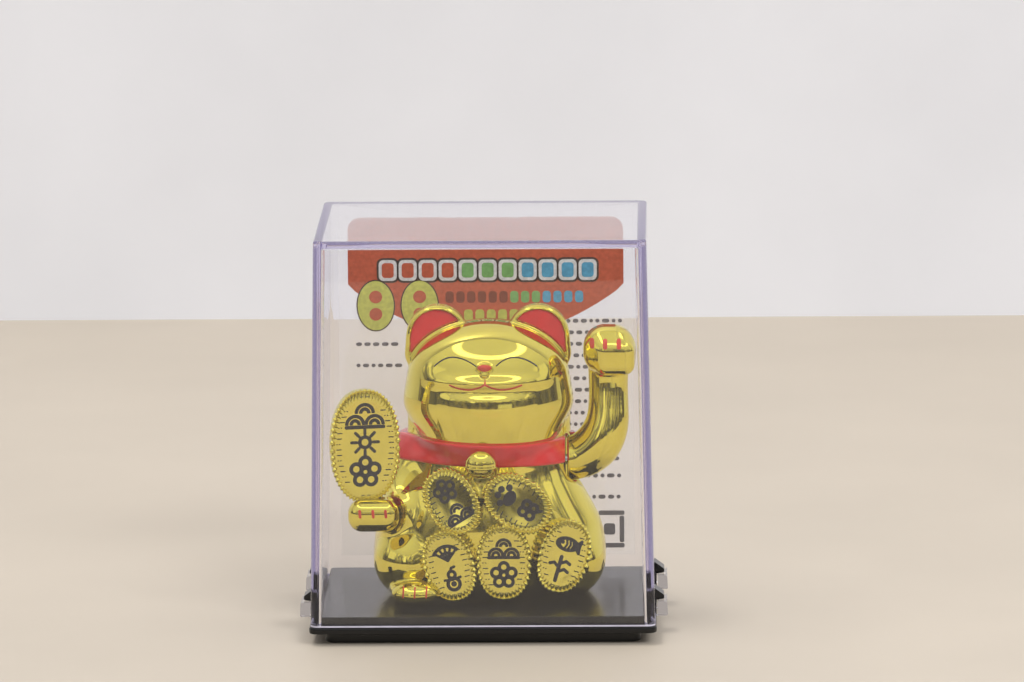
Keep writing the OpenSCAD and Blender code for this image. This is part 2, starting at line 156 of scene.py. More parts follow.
def net(form, low, high, cell):
    """Quad mesh of a form's surface between two corners: one point in each cell it crosses."""
    low = np.array(low, float)
    count = [int(math.ceil((high[i] - low[i]) / cell)) + 1 for i in range(3)]
    axes = [low[i] + cell * np.arange(count[i]) for i in range(3)]
    grid = (axes[0][:, None, None], axes[1][None, :, None], axes[2][None, None, :])
    v = np.broadcast_to(form(grid), count)
    inside = v < 0
    shape = [c - 1 for c in count]
    total = [np.zeros(shape) for _ in range(3)]
    hits = np.zeros(shape)
    crossings = []
    for axis in range(3):
        lo = [slice(None)] * 3
        hi = [slice(None)] * 3
        lo[axis] = slice(None, -1)
        hi[axis] = slice(1, None)
        a = v[tuple(lo)]
        b = v[tuple(hi)]
        cut = inside[tuple(lo)] != inside[tuple(hi)]
        t = np.where(cut, a / np.where(a == b, 1.0, a - b), 0.0)
        where = []
        for i in range(3):
            line = axes[i][:-1] if i == axis else axes[i]
            reshape = [1, 1, 1]
            reshape[i] = -1
            spot = line.reshape(reshape) + (cell * t if i == axis else 0.0)
            where.append(np.where(cut, spot, 0.0))
        others = [i for i in range(3) if i != axis]
        for s0 in (0, 1):
            for s1 in (0, 1):
                pick = [slice(None)] * 3
                for other, s in zip(others, (s0, s1)):
                    pick[other] = slice(s, count[other] - 1 + s)
                pick = tuple(pick)
                hits += cut[pick]
                for i in range(3):
                    total[i] += where[i][pick]
        crossings.append((cut, inside[tuple(lo)]))
    used = hits > 0
    index = np.full(shape, -1, int)
    index[used] = np.arange(used.sum())
    points = np.stack([t[used] / hits[used] for t in total], axis=1)
    quads = []
    for axis, (cut, first_in) in enumerate(crossings):
        o0, o1 = [(1, 2), (2, 0), (0, 1)][axis]
        where = np.argwhere(cut)
        for o in (o0, o1):
            where = where[(where[:, o] > 0) & (where[:, o] < count[o] - 1)]
        flip = ~first_in[where[:, 0], where[:, 1], where[:, 2]]
        ring = []
        for d0, d1 in ((-1, -1), (0, -1), (0, 0), (-1, 0)):
            c = where.copy()
            c[:, o0] += d0
            c[:, o1] += d1
            ring.append(index[c[:, 0], c[:, 1], c[:, 2]])
        ring = np.stack(ring, axis=1)
        ring[flip] = ring[flip][:, ::-1]
        quads.append(ring)
    return points, np.concatenate(quads)


def relax(form, p, quads, reach, rounds):
    """Evens out a net along its surface."""
    start, end = quads.T.ravel(), np.roll(quads, -1, axis=1).T.ravel()
    n = len(p)
    valence = np.bincount(start, minlength=n) + np.bincount(end, minlength=n)
    for _ in range(rounds):
        mean = np.zeros_like(p)
        for i in range(3):
            mean[:, i] = np.bincount(start, p[end, i], n) + np.bincount(end, p[start, i], n)
        mean /= np.maximum(valence, 1)[:, None]
        p = settle(form, 0.4 * p + 0.6 * mean, reach, 2)
    return p


# ---- making pieces


def corner_normals(points, faces, angle=40):
    """Normal of each face corner: the area-weighted mean of the faces there that bend less than angle."""
    limit = math.cos(math.radians(angle))
    areas = []
    touching = {}
    for k, face in enumerate(faces):
        corners = points[list(face)]
        total = np.zeros(3)
        for a, b in zip(corners, np.roll(corners, -1, axis=0)):
            total += np.cross(a, b)
        areas.append(total)
        for i in face:
            touching.setdefault(i, []).append(k)
    areas = np.array(areas)
    facing = areas / np.maximum(np.linalg.norm(areas, axis=1), 1e-12)[:, None]
    out = []
    for k, face in enumerate(faces):
        for i in face:
            near = [m for m in touching[i] if facing[m] @ facing[k] > limit]
            n = areas[near].sum(0)
            out.append(n / max(np.linalg.norm(n), 1e-12))
    return out


# where pieces are drawn from, in millimetres, and the CAD body they ride on
ON_TRAY = ((0, 0, 0), "figure")
ON_CAT = (CAT, "figure")
ON_ARM = (AXIS, "arm")
ON_COVER = ((0, 0, 0), "cover")


def piece(name, points, faces, place, material, replaces=(), normals=None):
    """A closed mesh piece from points in millimetres, at a place with its body."""
    origin, body = place
    points = np.asarray(points, float)
    mesh = bpy.data.meshes.new(name)
    spots = (points + np.asarray(origin, float)) * MM
    mesh.from_pydata(spots.tolist(), [], [list(f) for f in faces])
    mesh.shade_smooth()
    if normals is None and len(faces) > 3000:
        mesh.set_sharp_from_angle(angle=math.radians(40))
    elif normals is None:
        mesh.normals_split_custom_set([tuple(n) for n in corner_normals(points, faces)])
    else:
        mesh.normals_split_custom_set_from_vertices(normals.tolist())
    obj = bpy.data.objects.new(name, mesh)
    bpy.context.scene.collection.objects.link(obj)
    mesh.materials.append(material)
    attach(obj, body)
    if replaces:
        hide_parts(*replaces)
    return obj


def form_piece(name, form, low, high, cell, place, material, replaces=(), rounds=2):
    """A piece meshed from a form, with its points on the surface and its shading from the form."""
    points, quads = net(form, low, high, cell)
    points = settle(form, points, cell * 0.6)
    if rounds:
        points = relax(form, points, quads, cell * 0.5, rounds)
    g = gradient(form, points)
    normals = g / np.maximum(np.linalg.norm(g, axis=1), 1e-9)[:, None]
    return piece(name, points, quads.tolist(), place, material, replaces, normals)


def rings_mesh(rings):
    """Points and faces of a skin over equal rings of points, capped with a fan at each end."""
    count = len(rings[0])
    points = [p for ring in rings for p in ring]
    faces = []
    for start in range(0, (len(rings) - 1) * count, count):
        for i in range(start, start + count):
            j = start + (i + 1 - start) % count
            faces.append((i, j, j + count, i + count))
    for ring, order in ((0, -1), (len(rings) - 1, 1)):
        points.append(np.mean(rings[ring], axis=0))
        for i in range(count):
            edge = (ring * count + i, ring * count + (i + 1) % count)
            faces.append((len(points) - 1, *edge[::order]))
    return np.array(points), faces


def loop_mesh(rings):
    """Points and faces of a skin over equal rings of points, with the last joined to the first."""
    count = len(rings[0])
    faces = []
    for k in range(len(rings)):
        m = (k + 1) % len(rings)
        for i in range(count):
            j = (i + 1) % count
            faces.append((k * count + i, k * count + j, m * count + j, m * count + i))
    return np.concatenate(rings), faces


# ---- materials


class Graph:
    """Adds and links the nodes of one material or world."""

    def __init__(self, tree):
        self.tree = tree

    def add(self, kind, **values):
        n = self.tree.nodes.new(kind)
        for key, value in values.items():
            if hasattr(n, key):
                setattr(n, key, value)
            else:
                n.inputs[key.replace("_", " ")].default_value = value
        return n

    def feed(self, value, socket):
        """Links an output to a socket, or sets the socket to a plain value."""
        if isinstance(value, bpy.types.NodeSocket):
            self.tree.links.new(value, socket)
        else:
            socket.default_value = value

    def math(self, operation, *values):
        n = self.add("ShaderNodeMath", operation=operation)
        for value, socket in zip(values, n.inputs):
            self.feed(value, socket)
        return n.outputs[0]

    def ramp(self, fac, stops):
        """Colours along a value, from (position, colour) stops in rising order."""
        r = self.add("ShaderNodeValToRGB")
        marks = r.color_ramp.elements
        for mark, stop in zip(marks, (stops[0], stops[-1])):
            mark.position, mark.color = stop[0], stop[1] + (1,)
        for position, color in stops[1:-1]:
            marks.new(position).color = color + (1,)
        self.feed(fac, r.inputs["Fac"])
        return r.outputs["Color"]


class Nodes(Graph):
    """The nodes of one new material."""

    def __init__(self, name):
        self.material = bpy.data.materials.new(name)
        self.material.use_nodes = True
        super().__init__(self.material.node_tree)
        self.shader = self.tree.nodes["Principled BSDF"]
        self.output = self.tree.nodes["Material Output"]
        self.place = self.add("ShaderNodeTexCoord").outputs["Object"]

    def set(self, **values):
        for key, value in values.items():
            self.feed(value, self.shader.inputs[key.replace("_", " ")])

    def noise(self, size_mm, detail=2.0, rough=0.5, place=None):
        n = self.add("ShaderNodeTexNoise", Scale=1000.0 / size_mm, Detail=detail, Roughness=rough)
        self.feed(self.place if place is None else place, n.inputs["Vector"])
        return n.outputs["Fac"]

    def range(self, fac, low, high):
        m = self.add("ShaderNodeMapRange", From_Min=0.3, From_Max=0.7, To_Min=low, To_Max=high)
        self.feed(fac, m.inputs["Value"])
        return m.outputs["Result"]

    def tone(self, fac, color, low, high, start=0.3, end=0.7):
        """Base colour that runs from low to high times the given one."""
        self.set(Base_Color=self.ramp(fac, [(start, shaded(color, low)), (end, shaded(color, high))]))

    def bump(self, height, strength, distance_mm):
        b = self.add("ShaderNodeBump", Strength=strength, Distance=distance_mm * MM)
        self.feed(height, b.inputs["Height"])
        self.set(Normal=b.outputs["Normal"])

    def swap(self, fac, other):
        """Shows another shader in place of the main one where fac is 1."""
        mix = self.add("ShaderNodeMixShader")
        for value, socket in zip((fac, self.shader.outputs[0], other.outputs[0]), mix.inputs):
            self.feed(value, socket)
        self.feed(mix.outputs[0], self.output.inputs["Surface"])


def shaded(color, by):
    return tuple(min(1.0, c * by) for c in color)


def gold_plating(name, color, rough):
    """Mirror plating on moulded plastic: soft ripples of the moulding and faint handling haze."""
    m = Nodes(name)
    m.set(Metallic=1.0)
    m.tone(m.noise(9.0, 3.0), color, 0.97, 1.02, 0.35, 0.65)
    m.set(Roughness=m.range(m.noise(3.0, 4.0, 0.6), rough * 0.7, rough * 1.6))
    m.bump(m.noise(2.6, 1.0), 0.05, 0.05)
    return m.material


def gloss_paint(name, color, rough=0.22, coat=0.5):
    """Brushed-on paint: slightly uneven film."""
    m = Nodes(name)
    m.set(Coat_Weight=coat, Coat_Roughness=0.08, IOR=1.5)
    m.tone(m.noise(2.5, 3.0), color, 0.88, 1.08)
    m.set(Roughness=m.range(m.noise(1.2, 3.0), rough * 0.8, rough * 1.3))
    m.bump(m.noise(0.9, 2.0), 0.12, 0.03)
    return m.material


def moulding(name, color, rough, grain=0.35, depth=0.02, ior=1.5):
    """Moulded plastic with a fine grain and slight colour change."""
    m = Nodes(name)
    m.set(IOR=ior)
    m.tone(m.noise(6.0, 4.0), color, 0.85, 1.15)
    m.set(Roughness=m.range(m.noise(1.5, 4.0, 0.6), rough * 0.85, rough * 1.2))
    m.bump(m.noise(grain, 2.0), 0.15, depth)
    return m.material


def metal(name, color, rough, grain=0.5, stretch=(1, 1, 12)):
    """Bare metal with fine turned or drawn marks."""
    m = Nodes(name)
    m.set(Metallic=1.0)
    mapping = m.add("ShaderNodeMapping", Scale=stretch)
    m.feed(m.place, mapping.inputs["Vector"])
    grains = m.noise(grain, 3.0, 0.5, mapping.outputs["Vector"])
    m.tone(grains, color, 0.9, 1.06)
    m.set(Roughness=m.range(grains, rough * 0.7, rough * 1.4))
    m.bump(grains, 0.1, 0.01)
    return m.material


def clear_moulding(name, depth, glow, density=45.0, ior=1.5):
    """Clear polished plastic with a faint violet tint; past depth hits its backfaces give off a painted glow in
    place of light trapped in the walls.
    """
    m = Nodes(name)
    m.set(IOR=ior, Transmission_Weight=1.0, Base_Color=(0.985, 0.985, 1.0, 1.0))
    m.set(Roughness=m.range(m.noise(4.0, 3.0), 0.0, 0.02))
    m.bump(m.noise(16.0, 1.0), 0.04, 0.1)
    tint = m.add("ShaderNodeVolumeAbsorption", Color=(0.86, 0.83, 0.95, 1.0), Density=density)
    m.feed(tint.outputs["Volume"], m.output.inputs["Volume"])
    # painted glow: past depth hits, backfaces give off a soft violet emission at the edges, standing in for
    # light trapped in the walls
    deep = m.math("GREATER_THAN", m.add("ShaderNodeLightPath").outputs["Ray Depth"], depth)
    inside = m.add("ShaderNodeNewGeometry").outputs["Backfacing"]
    m.swap(m.math("MULTIPLY", deep, inside), m.add("ShaderNodeEmission", Color=glow + (1.0,), Strength=1.0))
    return m.material


def clear_film(name, color, alpha):
    """Thin clear film: mostly see-through, with a soft sheen."""
    m = Nodes(name)
    m.set(Base_Color=color + (1.0,), IOR=1.45)
    m.set(Alpha=m.range(m.noise(5.0, 3.0), alpha * 0.85, alpha * 1.15))
    m.set(Roughness=m.range(m.noise(7.0, 2.0), 0.1, 0.22))
    return m.material


def ink(name, color, rough=0.45):
    """Flat printing ink with slightly uneven cover."""
    m = Nodes(name)
    m.tone(m.noise(0.8, 3.0), color, 0.85, 1.12)
    m.set(Roughness=m.range(m.noise(0.5, 2.0), rough * 0.8, rough * 1.2))
    return m.material


def banded(name, color, rough, pitch_mm, metallic=0.0, depth=0.04, direction="Z"):
    """Fine even bands, as on a coil's wire or a solar cell's strips."""
    m = Nodes(name)
    m.set(Metallic=metallic)
    scale = 1000.0 / pitch_mm / 20.0
    w = m.add("ShaderNodeTexWave", wave_type="BANDS", bands_direction=direction, Scale=scale, Distortion=0.0)
    m.feed(m.place, w.inputs["Vector"])
    m.tone(w.outputs["Fac"], color, 0.5, 1.1, 0.02, 0.2)
    m.set(Roughness=m.range(m.noise(2.0), rough * 0.8, rough * 1.2))
    m.bump(w.outputs["Fac"], 0.5, depth)
    return m.material


GOLD = gold_plating("gold_plating", (0.86, 0.735, 0.125), 0.035)
GOLD_COIN = gold_plating("gold_plating_coin", (0.86, 0.75, 0.15), 0.06)
RED = gloss_paint("red_paint", (0.68, 0.005, 0.008), 0.16, 0.45)
RED_MARK = gloss_paint("red_mark", (0.6, 0.05, 0.025), 0.35, 0.2)
BLACK_INK = ink("black_print", (0.02, 0.018, 0.022))
BLACK = moulding("black_moulding", (0.0055, 0.0055, 0.006), 0.2, 0.6, 0.004, 1.42)
WHITE = moulding("white_moulding", (0.78, 0.78, 0.74), 0.4)
# the colour after the depth is each clear moulding's painted glow, standing in for light trapped in its walls
CLEAR = clear_moulding("clear_plastic", 5.5, (0.33, 0.3, 0.4))
CLEAR_LOOP = clear_moulding("clear_plastic_loop", 7.5, (0.4, 0.36, 0.32), 10.0, 1.22)
FILM = clear_film("printed_film", (0.9, 0.9, 0.9), 0.10)
STEEL = metal("screw_steel", (0.62, 0.61, 0.58), 0.3)
SHAFT = metal("shaft_steel", (0.66, 0.66, 0.67), 0.2, 0.3, (14, 1, 1))
NICKEL = metal("magnet_nickel", (0.6, 0.58, 0.54), 0.22, 0.8, (1, 1, 1))
COPPER = banded("copper_wire", (0.75, 0.28, 0.1), 0.3, 0.16, 1.0, 0.05)
BOARD = moulding("board", (0.03, 0.2, 0.07), 0.35, 0.8, 0.02)
CHIP = moulding("chip_black", (0.02, 0.02, 0.02), 0.5, 0.15, 0.01)
SLEEVE = moulding("capacitor_sleeve", (0.03, 0.05, 0.16), 0.25, 1.5, 0.01)
LEAD = moulding("lead_insulation", (0.5, 0.03, 0.03), 0.4, 0.6, 0.01)
SOLAR = banded("solar_glass", (0.045, 0.02, 0.05), 0.12, 2.1, 0.0, 0.0, "X")

CARRIED = {
    "tray_screws": STEEL, "plate_screws": STEEL, "mechanism_frame": WHITE,
    "frame_screws": STEEL, "coil_bobbin": WHITE, "coil_winding": COPPER, "circuit_board": BOARD,
    "drive_chip": CHIP, "capacitor": SLEEVE, "solar_cell": SOLAR, "cell_leads": LEAD,
    "arm_shaft": SHAFT, "shaft_clip": STEEL, "pendulum": WHITE, "pendulum_magnet": NICKEL,
}
for node_name, material in CARRIED.items():
    for s in frame["nodes"][node_name].material_slots:
        s.material = material

# ---- the cat's form (millimetres from its middle on the deck)

EAR_X = 9.6
EAR_Z = 49.4
EAR_R = 5.9
EAR_RIM = 0.8
EAR_FRONT = -2.0
COLLAR_Z = 27.8
SHOULDER_X = 14.6
SHOULDER_R = 4.9
SHELL_T = 1.25
HALF_GAP = 0.015
SHAFT_BORE = 1.5
EAR_DISH_Y = EAR_FRONT + 0.75
# swellings across the face, muzzle and chin: height, rise, reach up, reach down and half width
MUZZLE = [(42.3, 1.0, 1.15, 1.15, 12.6), (39.0, 0.8, 1.15, 9.0, 9.5)]


def head_form(p):
    d = egg(p, (0, -0.1, 40.6), (15.5, 12.6, 11.5))
    d = smin(d, egg(p, (0, -0.9, 42.2), (14.7, 12.2, 9.8)), 1.5)
    d = smin(d, egg(p, (0, -0.3, 36.6), (16.1, 13.2, 7.8)), 2.5)
    d = smin(d, egg(p, (0, -1.0, 34.6), (13.6, 12.9, 15.0)), 2.5)
    front = np.clip(-0.25 * p[1] - 0.5, 0.0, 1.0)
    for z, rise, over, under, half in MUZZLE:
        fall = np.exp(-((p[2] - z) / np.where(p[2] > z, over, under)) ** 2)
        d = d - rise * front * np.clip(1.0 - (p[0] / half) ** 2, 0.0, 1.0) * fall
    d = smin(d, egg(p, (-0.4, -13.3, 43.9), (0.75, 0.75, 0.7)), 0.3)
    return smin(d, egg(p, (-0.4, -12.9, 45.2), (1.4, 0.9, 0.8)), 0.6)


def ear_outline(x, z, side):
    """Distance to the ear's outline in the front view: a round ear drawn down along its outer edge."""
    d = length(x - side * EAR_X, z - EAR_Z) - EAR_R
    outer = stroke(x, z, [(side * 11.5, 48.4), (side * 12.9, 45.6)], 5.8)
    inner = stroke(x, z, [(side * 8.0, 49.4), (side * 5.6, 48.0)], 5.2)
    return smin(smin(d, outer, 2.0), inner, 1.5)


def ear_plate(p, side, inset, y, half, r):
    """Plate in the ear's outline, inset from it, with rounded edges."""
    a = ear_outline(p[0], p[2], side) + inset + r
    b = np.abs(p[1] - y) - half + r
    return length(np.maximum(a, 0.0), np.maximum(b, 0.0)) + np.minimum(np.maximum(a, b), 0.0) - r


def ear_form(p, side):
    return smax(ear_plate(p, side, 0.0, EAR_FRONT + 2.0, 2.0, 1.3), 42.0 - p[2], 1.0)


def trunk_form(p):
    d = egg(p, (0, 0.3, 7.4), (22.2, 13.6, 13.0))
    d = smin(d, egg(p, (0, 0.2, 13.0), (20.4, 13.0, 11.0)), 4.0)
    d = smin(d, egg(p, (0, 0, 18.5), (17.2, 12.2, 14.0)), 4.0)
    d = smin(d, egg(p, (0, 0.5, 26.5), (14.8, 11.6, 6.0)), 3.0)
    return smin(d, limb(p, [(0, 4.4, 27), (0, 4.4, 36)], [8.0, 8.0]), 3.0)


def nape_form(p):
    q = (p[0] / 15.6, (p[1] - 3.8) / 8.6)
    flat = (length(*q) - 1.0) * 8.6
    return smax(smax(flat, p[2] - 38.5, 5.0), 23.0 - p[2], 3.0)


ARM_R = [(-13.2, 0.6, 24.6), (-15.4, -1.2, 19.0), (-17.6, -4.8, 16.6), (-19.8, -9.2, 16.6)]


def limbs_form(p):
    haunch = egg(p, (-14.6, -4.4, 6.6), (7.5, 7.9, 7.4))
    haunch = smin(haunch, egg(p, (14.6, -3.6, 6.4), (7.5, 8.0, 7.2)), 0.5)
    arm = limb(p, ARM_R, [4.5, 4.7, 3.8, 3.1], 1.5)
    fist = pad(p, (-21.7, -11.2, 16.7), (4.9, 3.4, 3.1), 2.7)
    foot = egg(p, (-14.8, -9.4, 2.1), (4.2, 4.6, 2.1))
    foot = smin(foot, egg(p, (-13.7, -15.5, 2.4), (4.7, 3.7, 2.4)), 1.5)
    return haunch, smin(arm, fist, 1.2), foot


def cat_form(p):
    """The whole cat as one solid, before the ears are dished and the floor is cut."""
    head = head_form(p)
    d = smin(trunk_form(p), nape_form(p), 2.0)
    d = smin(d, head, 0.9)
    for side in (-1, 1):
        d = smin(d, ear_form(p, side), 0.5)
    haunch, arm, foot = limbs_form(p)
    d = smin(d, haunch, 1.6)
    d = smin(d, arm, 3.2)
    d = smin(d, foot, 0.7)
    for side in (-1, 1):
        dish = ear_outline(p[0], p[2], side) + EAR_RIM
        dish = smax(dish, p[1] - EAR_DISH_Y, 0.3)
        dish = smax(dish, 0.6 - head, 0.3)
        d = smax(d, -dish, 0.25)
    scoop = smax(length(p[1], p[2] - AXIS_H) - SHOULDER_R, SHOULDER_X - p[0], 0.6)
    return smax(d, -scoop, 0.5)


def shell_form(p, front):
    """Half of the cat's hollow shell, rounded a little along the parting line."""
    d = cat_form(p)
    cut = smax(d, -p[2], 0.3)
    cut = smax(cut, HALF_GAP + (p[1] if front else -p[1]), 0.3)
    shaft = np.maximum(length(p[1], p[2] - AXIS_H) - SHAFT_BORE, 6.0 - p[0])
    cut = np.maximum(np.maximum(cut, -(d + SHELL_T)), -shaft)
    if not front:
        window = pad(cell_frame(p), (0, 0, 0), (CELL_W / 2 + 0.15, 3.0, CELL_H / 2 + 0.15), 0.2)
        cut = np.maximum(cut, -window)
    return cut


CELL_LEAN = math.radians(14)
CELL_W = CELL_HI[0] - CELL_LO[0]
CELL_T = 1.2
CELL_H = ((CELL_HI[2] - CELL_LO[2]) - CELL_T * math.sin(CELL_LEAN)) / math.cos(CELL_LEAN)
CELL_MID = (CELL_LO + CELL_HI) / 2 - CAT


def cell_frame(p):
    """Coordinates along the leaning solar cell."""
    y = p[1] - CELL_MID[1]
    z = p[2] - CELL_MID[2]
    c = math.cos(CELL_LEAN)
    s = math.sin(CELL_LEAN)
    return p[0] - CELL_MID[0], y * c + z * s, z * c - y * s


CELL_SIZE = 0.32
form_piece("cat_front_shell", lambda p: shell_form(p, True), (-28, -20, -1), (25, 1, 57.5), CELL_SIZE, ON_CAT,
           GOLD, ("front_shell",))
form_piece("cat_back_shell", lambda p: shell_form(p, False), (-24, -1, -1), (25, 16, 57.5), CELL_SIZE, ON_CAT,
           GOLD, ("back_shell",))

# ---- paint on the cat


def skin(form2d, lift=0.06, under=0.12, ground=cat_form):
    """Thin layer of paint on the ground's front where form2d(x, z) is negative."""
    def form(p):
        d = ground(p)
        layer = np.maximum(d - lift, -(d + under))
        return smax(layer, form2d(p[0], p[2]) + 0 * p[1], 0.05)
    return form


def paint(name, form, low, high, cell, material, place=ON_CAT):
    """A thin painted mark."""
    form_piece(name, form, low, high, cell, place, material, (), 0)


def strokes2d(lines, width):
    """Lines of one width, in the front view."""
    def form2d(x, z):
        return np.minimum.reduce([stroke(x, z, line, width) for line in lines])
    return form2d


def bow(a, peak, b, n=9):
    """Points of a smooth bow from a over peak to b."""
    t = np.linspace(0, 1, n)
    rise = [(a[0] + (peak[0] - a[0]) * v, a[1] + (peak[1] - a[1]) * (2 * v - v * v)) for v in t]
    fall = [(b[0] + (peak[0] - b[0]) * v, b[1] + (peak[1] - b[1]) * (2 * v - v * v)) for v in t]
    return rise + fall[::-1][1:]


EYES = {
    "left": [(-9.98, 45.0), (-6.2, 46.9), (-2.05, 45.5)],
    "right": [(1.86, 45.55), (4.9, 46.9), (9.49, 45.0)],
}
for side, word in ((-1, "left"), (1, "right")):
    def ear_red(p, side=side):
        d = ear_outline(p[0], p[2], side) + EAR_RIM + 0.1
        d = smax(d, 0.72 - head_form(p), 0.2)
        return smax(smax(d, p[1] - (EAR_DISH_Y + 0.1), 0.05), (EAR_DISH_Y - 0.12) - p[1], 0.05)
    paint(f"ear_paint_{word}", ear_red, (side * EAR_X - 6.5, -3.5, 43), (side * EAR_X + 6.5, 0, 56.5), 0.14,
          RED)
    eye = bow(*EYES[word])
    low_x, high_x = sorted((side * 1, side * 10.8))
    paint(f"eye_line_{word}", skin(strokes2d([eye], 0.24), 0.05, 0.08), (low_x, -15, 43.8), (high_x, -7, 48.2),
          0.07, BLACK_INK)


def nose_mark(x, z):
    return length((x + 0.4) / 1.35, (z - 45.3) / 0.62) * 0.62 - 0.62


MOUTH = (-0.3, 42.3)
mouth = [[(-0.3, 43.0), MOUTH]] + [bow(MOUTH, (x * 3.4 - 0.3, 41.2), (x * 6.8 - 0.2, 41.9)) for x in (-1, 1)]
paint("nose_paint", skin(nose_mark), (-2, -16.5, 43.6), (2, -12, 46.6), 0.07, RED_MARK)
paint("mouth_line", skin(strokes2d(mouth, 0.36), 0.05, 0.08), (-7.5, -16.5, 40.6), (7.5, -9.5, 44.4), 0.08,
      RED_MARK)

# ---- collar and bell

COLLAR_HALF = 2.3
COLLAR_T = 0.85
COLLAR_SCOOP = SHOULDER_R + 0.6


def collar_form(p):
    d = cat_form(p)
    band = np.abs(p[2] - COLLAR_Z + 0.03 * p[1] + 0.02 * p[0]) - COLLAR_HALF
    wrap = smax(d - COLLAR_T, band, 0.7)
    scoop = np.maximum(length(p[1], p[2] - AXIS_H) - COLLAR_SCOOP, SHOULDER_X - p[0])
    return np.maximum(np.maximum(wrap, -(d + 0.5)), -scoop)


def bell_form(p):
    q = (p[0] + 1.2, p[1] + 14.5, p[2] - 27.0)
    d = egg(q, (0, 0, 0), (3.0, 2.55, 2.7))
    band = smax(length(q[0] / 2.95, q[1] / 2.5) * 2.7 - 2.78, np.abs(q[2] + 0.5) - 0.16, 0.2)
    d = smin(d, band, 0.3)
    slot = pad(q, (0, -1.6, -1.5), (1.4, 1.5, 0.16), 0.12)
    return smax(d, -slot, 0.15)


form_piece("collar_band", collar_form, (-19, -16, 24), (19, 15, 33), 0.3, ON_CAT, RED,
           ("collar",))
form_piece("bell_body", bell_form, (-5, -18, 23.5), (3, -11, 30), 0.13, ON_CAT, GOLD,
           ("bell",))

# ---- coins
# name: place, yaw, lean and roll in degrees, half axes, depth behind the face
COINS = {
    "koban_chest_left": ((-6.9, -15.2, 19.9), -10, 9, -33, 5.2, 6.8, 5.0),
    "koban_chest_right": ((5.8, -15.1, 19.5), 10, 9, -56, 5.2, 7.1, 5.0),
    "koban_low_left": ((-7.4, -16.7, 7.7), -6, 1, -15, 5.1, 7.1, 5.0),
    "koban_low_mid": ((3, -16.6, 8.3), 0, 1, 0, 5.4, 7.4, 5.0),
    "koban_low_right": ((14.6, -13.7, 8.9), 24, 2, 20, 5.5, 7.3, 5.0),
    "held_koban": ((-23.1, -11.8, 30), 12, 0, 0, 6.9, 11.1, 2.5),
}
RIM = 1.1
DISH = 0.28
BOLD = 0.1
COIN_WALL = 0.32
BEAD_R = 0.5
BEAD_INSET = 0.53
BEAD_VALLEY = 0.3
TICK_STEP = 1.05


def turn(yaw, lean, roll):
    """Rotation that sets a coin: rolled in its plane, leant back, then turned about Z."""
    a, b, c = [math.radians(v) for v in (yaw, lean, roll)]
    return np.array(Matrix.Rotation(a, 3, "Z") @ Matrix.Rotation(-b, 3, "X") @ Matrix.Rotation(c, 3, "Y"))


def oval(a, b, t, power=2.25):
    """Points round a superellipse with half axes a and b."""
    c, s = np.cos(t), np.sin(t)
    return a * np.sign(c) * np.abs(c) ** (2 / power), b * np.sign(s) * np.abs(s) ** (2 / power)


def set_coin(u, v, h, coin):
    """Points of a coin's own plane (u across, v up, h out of the face) in the cat's frame."""
    place, yaw, lean, roll = coin[:4]
    own = np.stack(np.broadcast_arrays(u, -h, v), axis=-1)
    return own @ turn(yaw, lean, roll).T + np.array(place)


def face_depth(u, v, a, b):
    """Height of the dished face below the rim."""
    r2 = np.clip((u / (a - RIM)) ** 2 + (v / (b - RIM)) ** 2, 0.0, 1.0)
    return -0.4 - DISH * (1 - r2)


def coin_points(coin, beads):
    """A coin from its back over the beaded edge to the middle of its dished face."""
    a, b, back = coin[4:]
    t = np.linspace(0, 2 * math.pi, beads * 8, endpoint=False)
    wave = 0.5 - 0.5 * np.cos(beads * t)
    rings = []
    for h in (-back, -1.0):
        u, v = oval(a - COIN_WALL, b - COIN_WALL, t)
        rings.append(set_coin(u, v, h, coin))
    radius = BEAD_R * (BEAD_VALLEY + (1 - BEAD_VALLEY) * wave)
    for angle in (-35, 0, 35, 65, 90, 115, 145, 180):
        inset = BEAD_INSET - radius * math.cos(math.radians(angle))
        u, v = oval(a - inset, b - inset, t)
        rings.append(set_coin(u, v, -0.5 + radius * math.sin(math.radians(angle)), coin))
    u, v = oval(a - RIM, b - RIM, t)
    rings.append(set_coin(u, v, -0.42, coin))
    for share in (0.86, 0.68, 0.48, 0.26, 0.08):
        u, v = oval((a - RIM) * share, (b - RIM) * share, t)
        rings.append(set_coin(u, v, face_depth(u, v, a, b), coin))
    return rings_mesh(rings)


def marks(rings=(), lines=(), dots=()):
    """Motif of rings (x, y, radius, width), lines (points, width) and dots (x, y, radius)."""
    def form(u, v):
        parts = [np.abs(length(u - x, v - y) - r) - w / 2 for x, y, r, w in rings]
        parts += [stroke(u, v, points, w) for points, w in lines]
        parts += [length(u - x, v - y) - r for x, y, r in dots]
        return np.minimum.reduce(parts)
    return form


def around(n, r, start=90):
    """n places round a circle, the first at start degrees."""
    turns = [math.radians(start + 360 / n * k) for k in range(n)]
    return [(r * math.cos(t), r * math.sin(t)) for t in turns]


def paw_print(u, v):
    heel = length(u / 1.15, (v + 0.55) / 0.85) * 0.9 - 0.9
    toes = [(x, y, 0.45) for x, y in ((-1.35, 0.35), (-0.5, 1.25), (0.5, 1.25), (1.35, 0.35))]
    return np.minimum(heel, marks(dots=toes)(u, v))


def fan(u, v):
    r = length(u, v + 1.3)
    wedge = np.abs(np.arctan2(u, v + 1.3)) - math.radians(52)
    arcs = np.maximum(np.minimum(np.abs(r - 2.5) - 0.2, np.abs(r - 1.4) - 0.15), wedge)
    sticks = [([(0, -1.3), (x, y - 1.3)], 0.24) for x, y in around(15, 2.6, 42)[:5]]
    return np.minimum(arcs, marks(lines=sticks)(u, v))


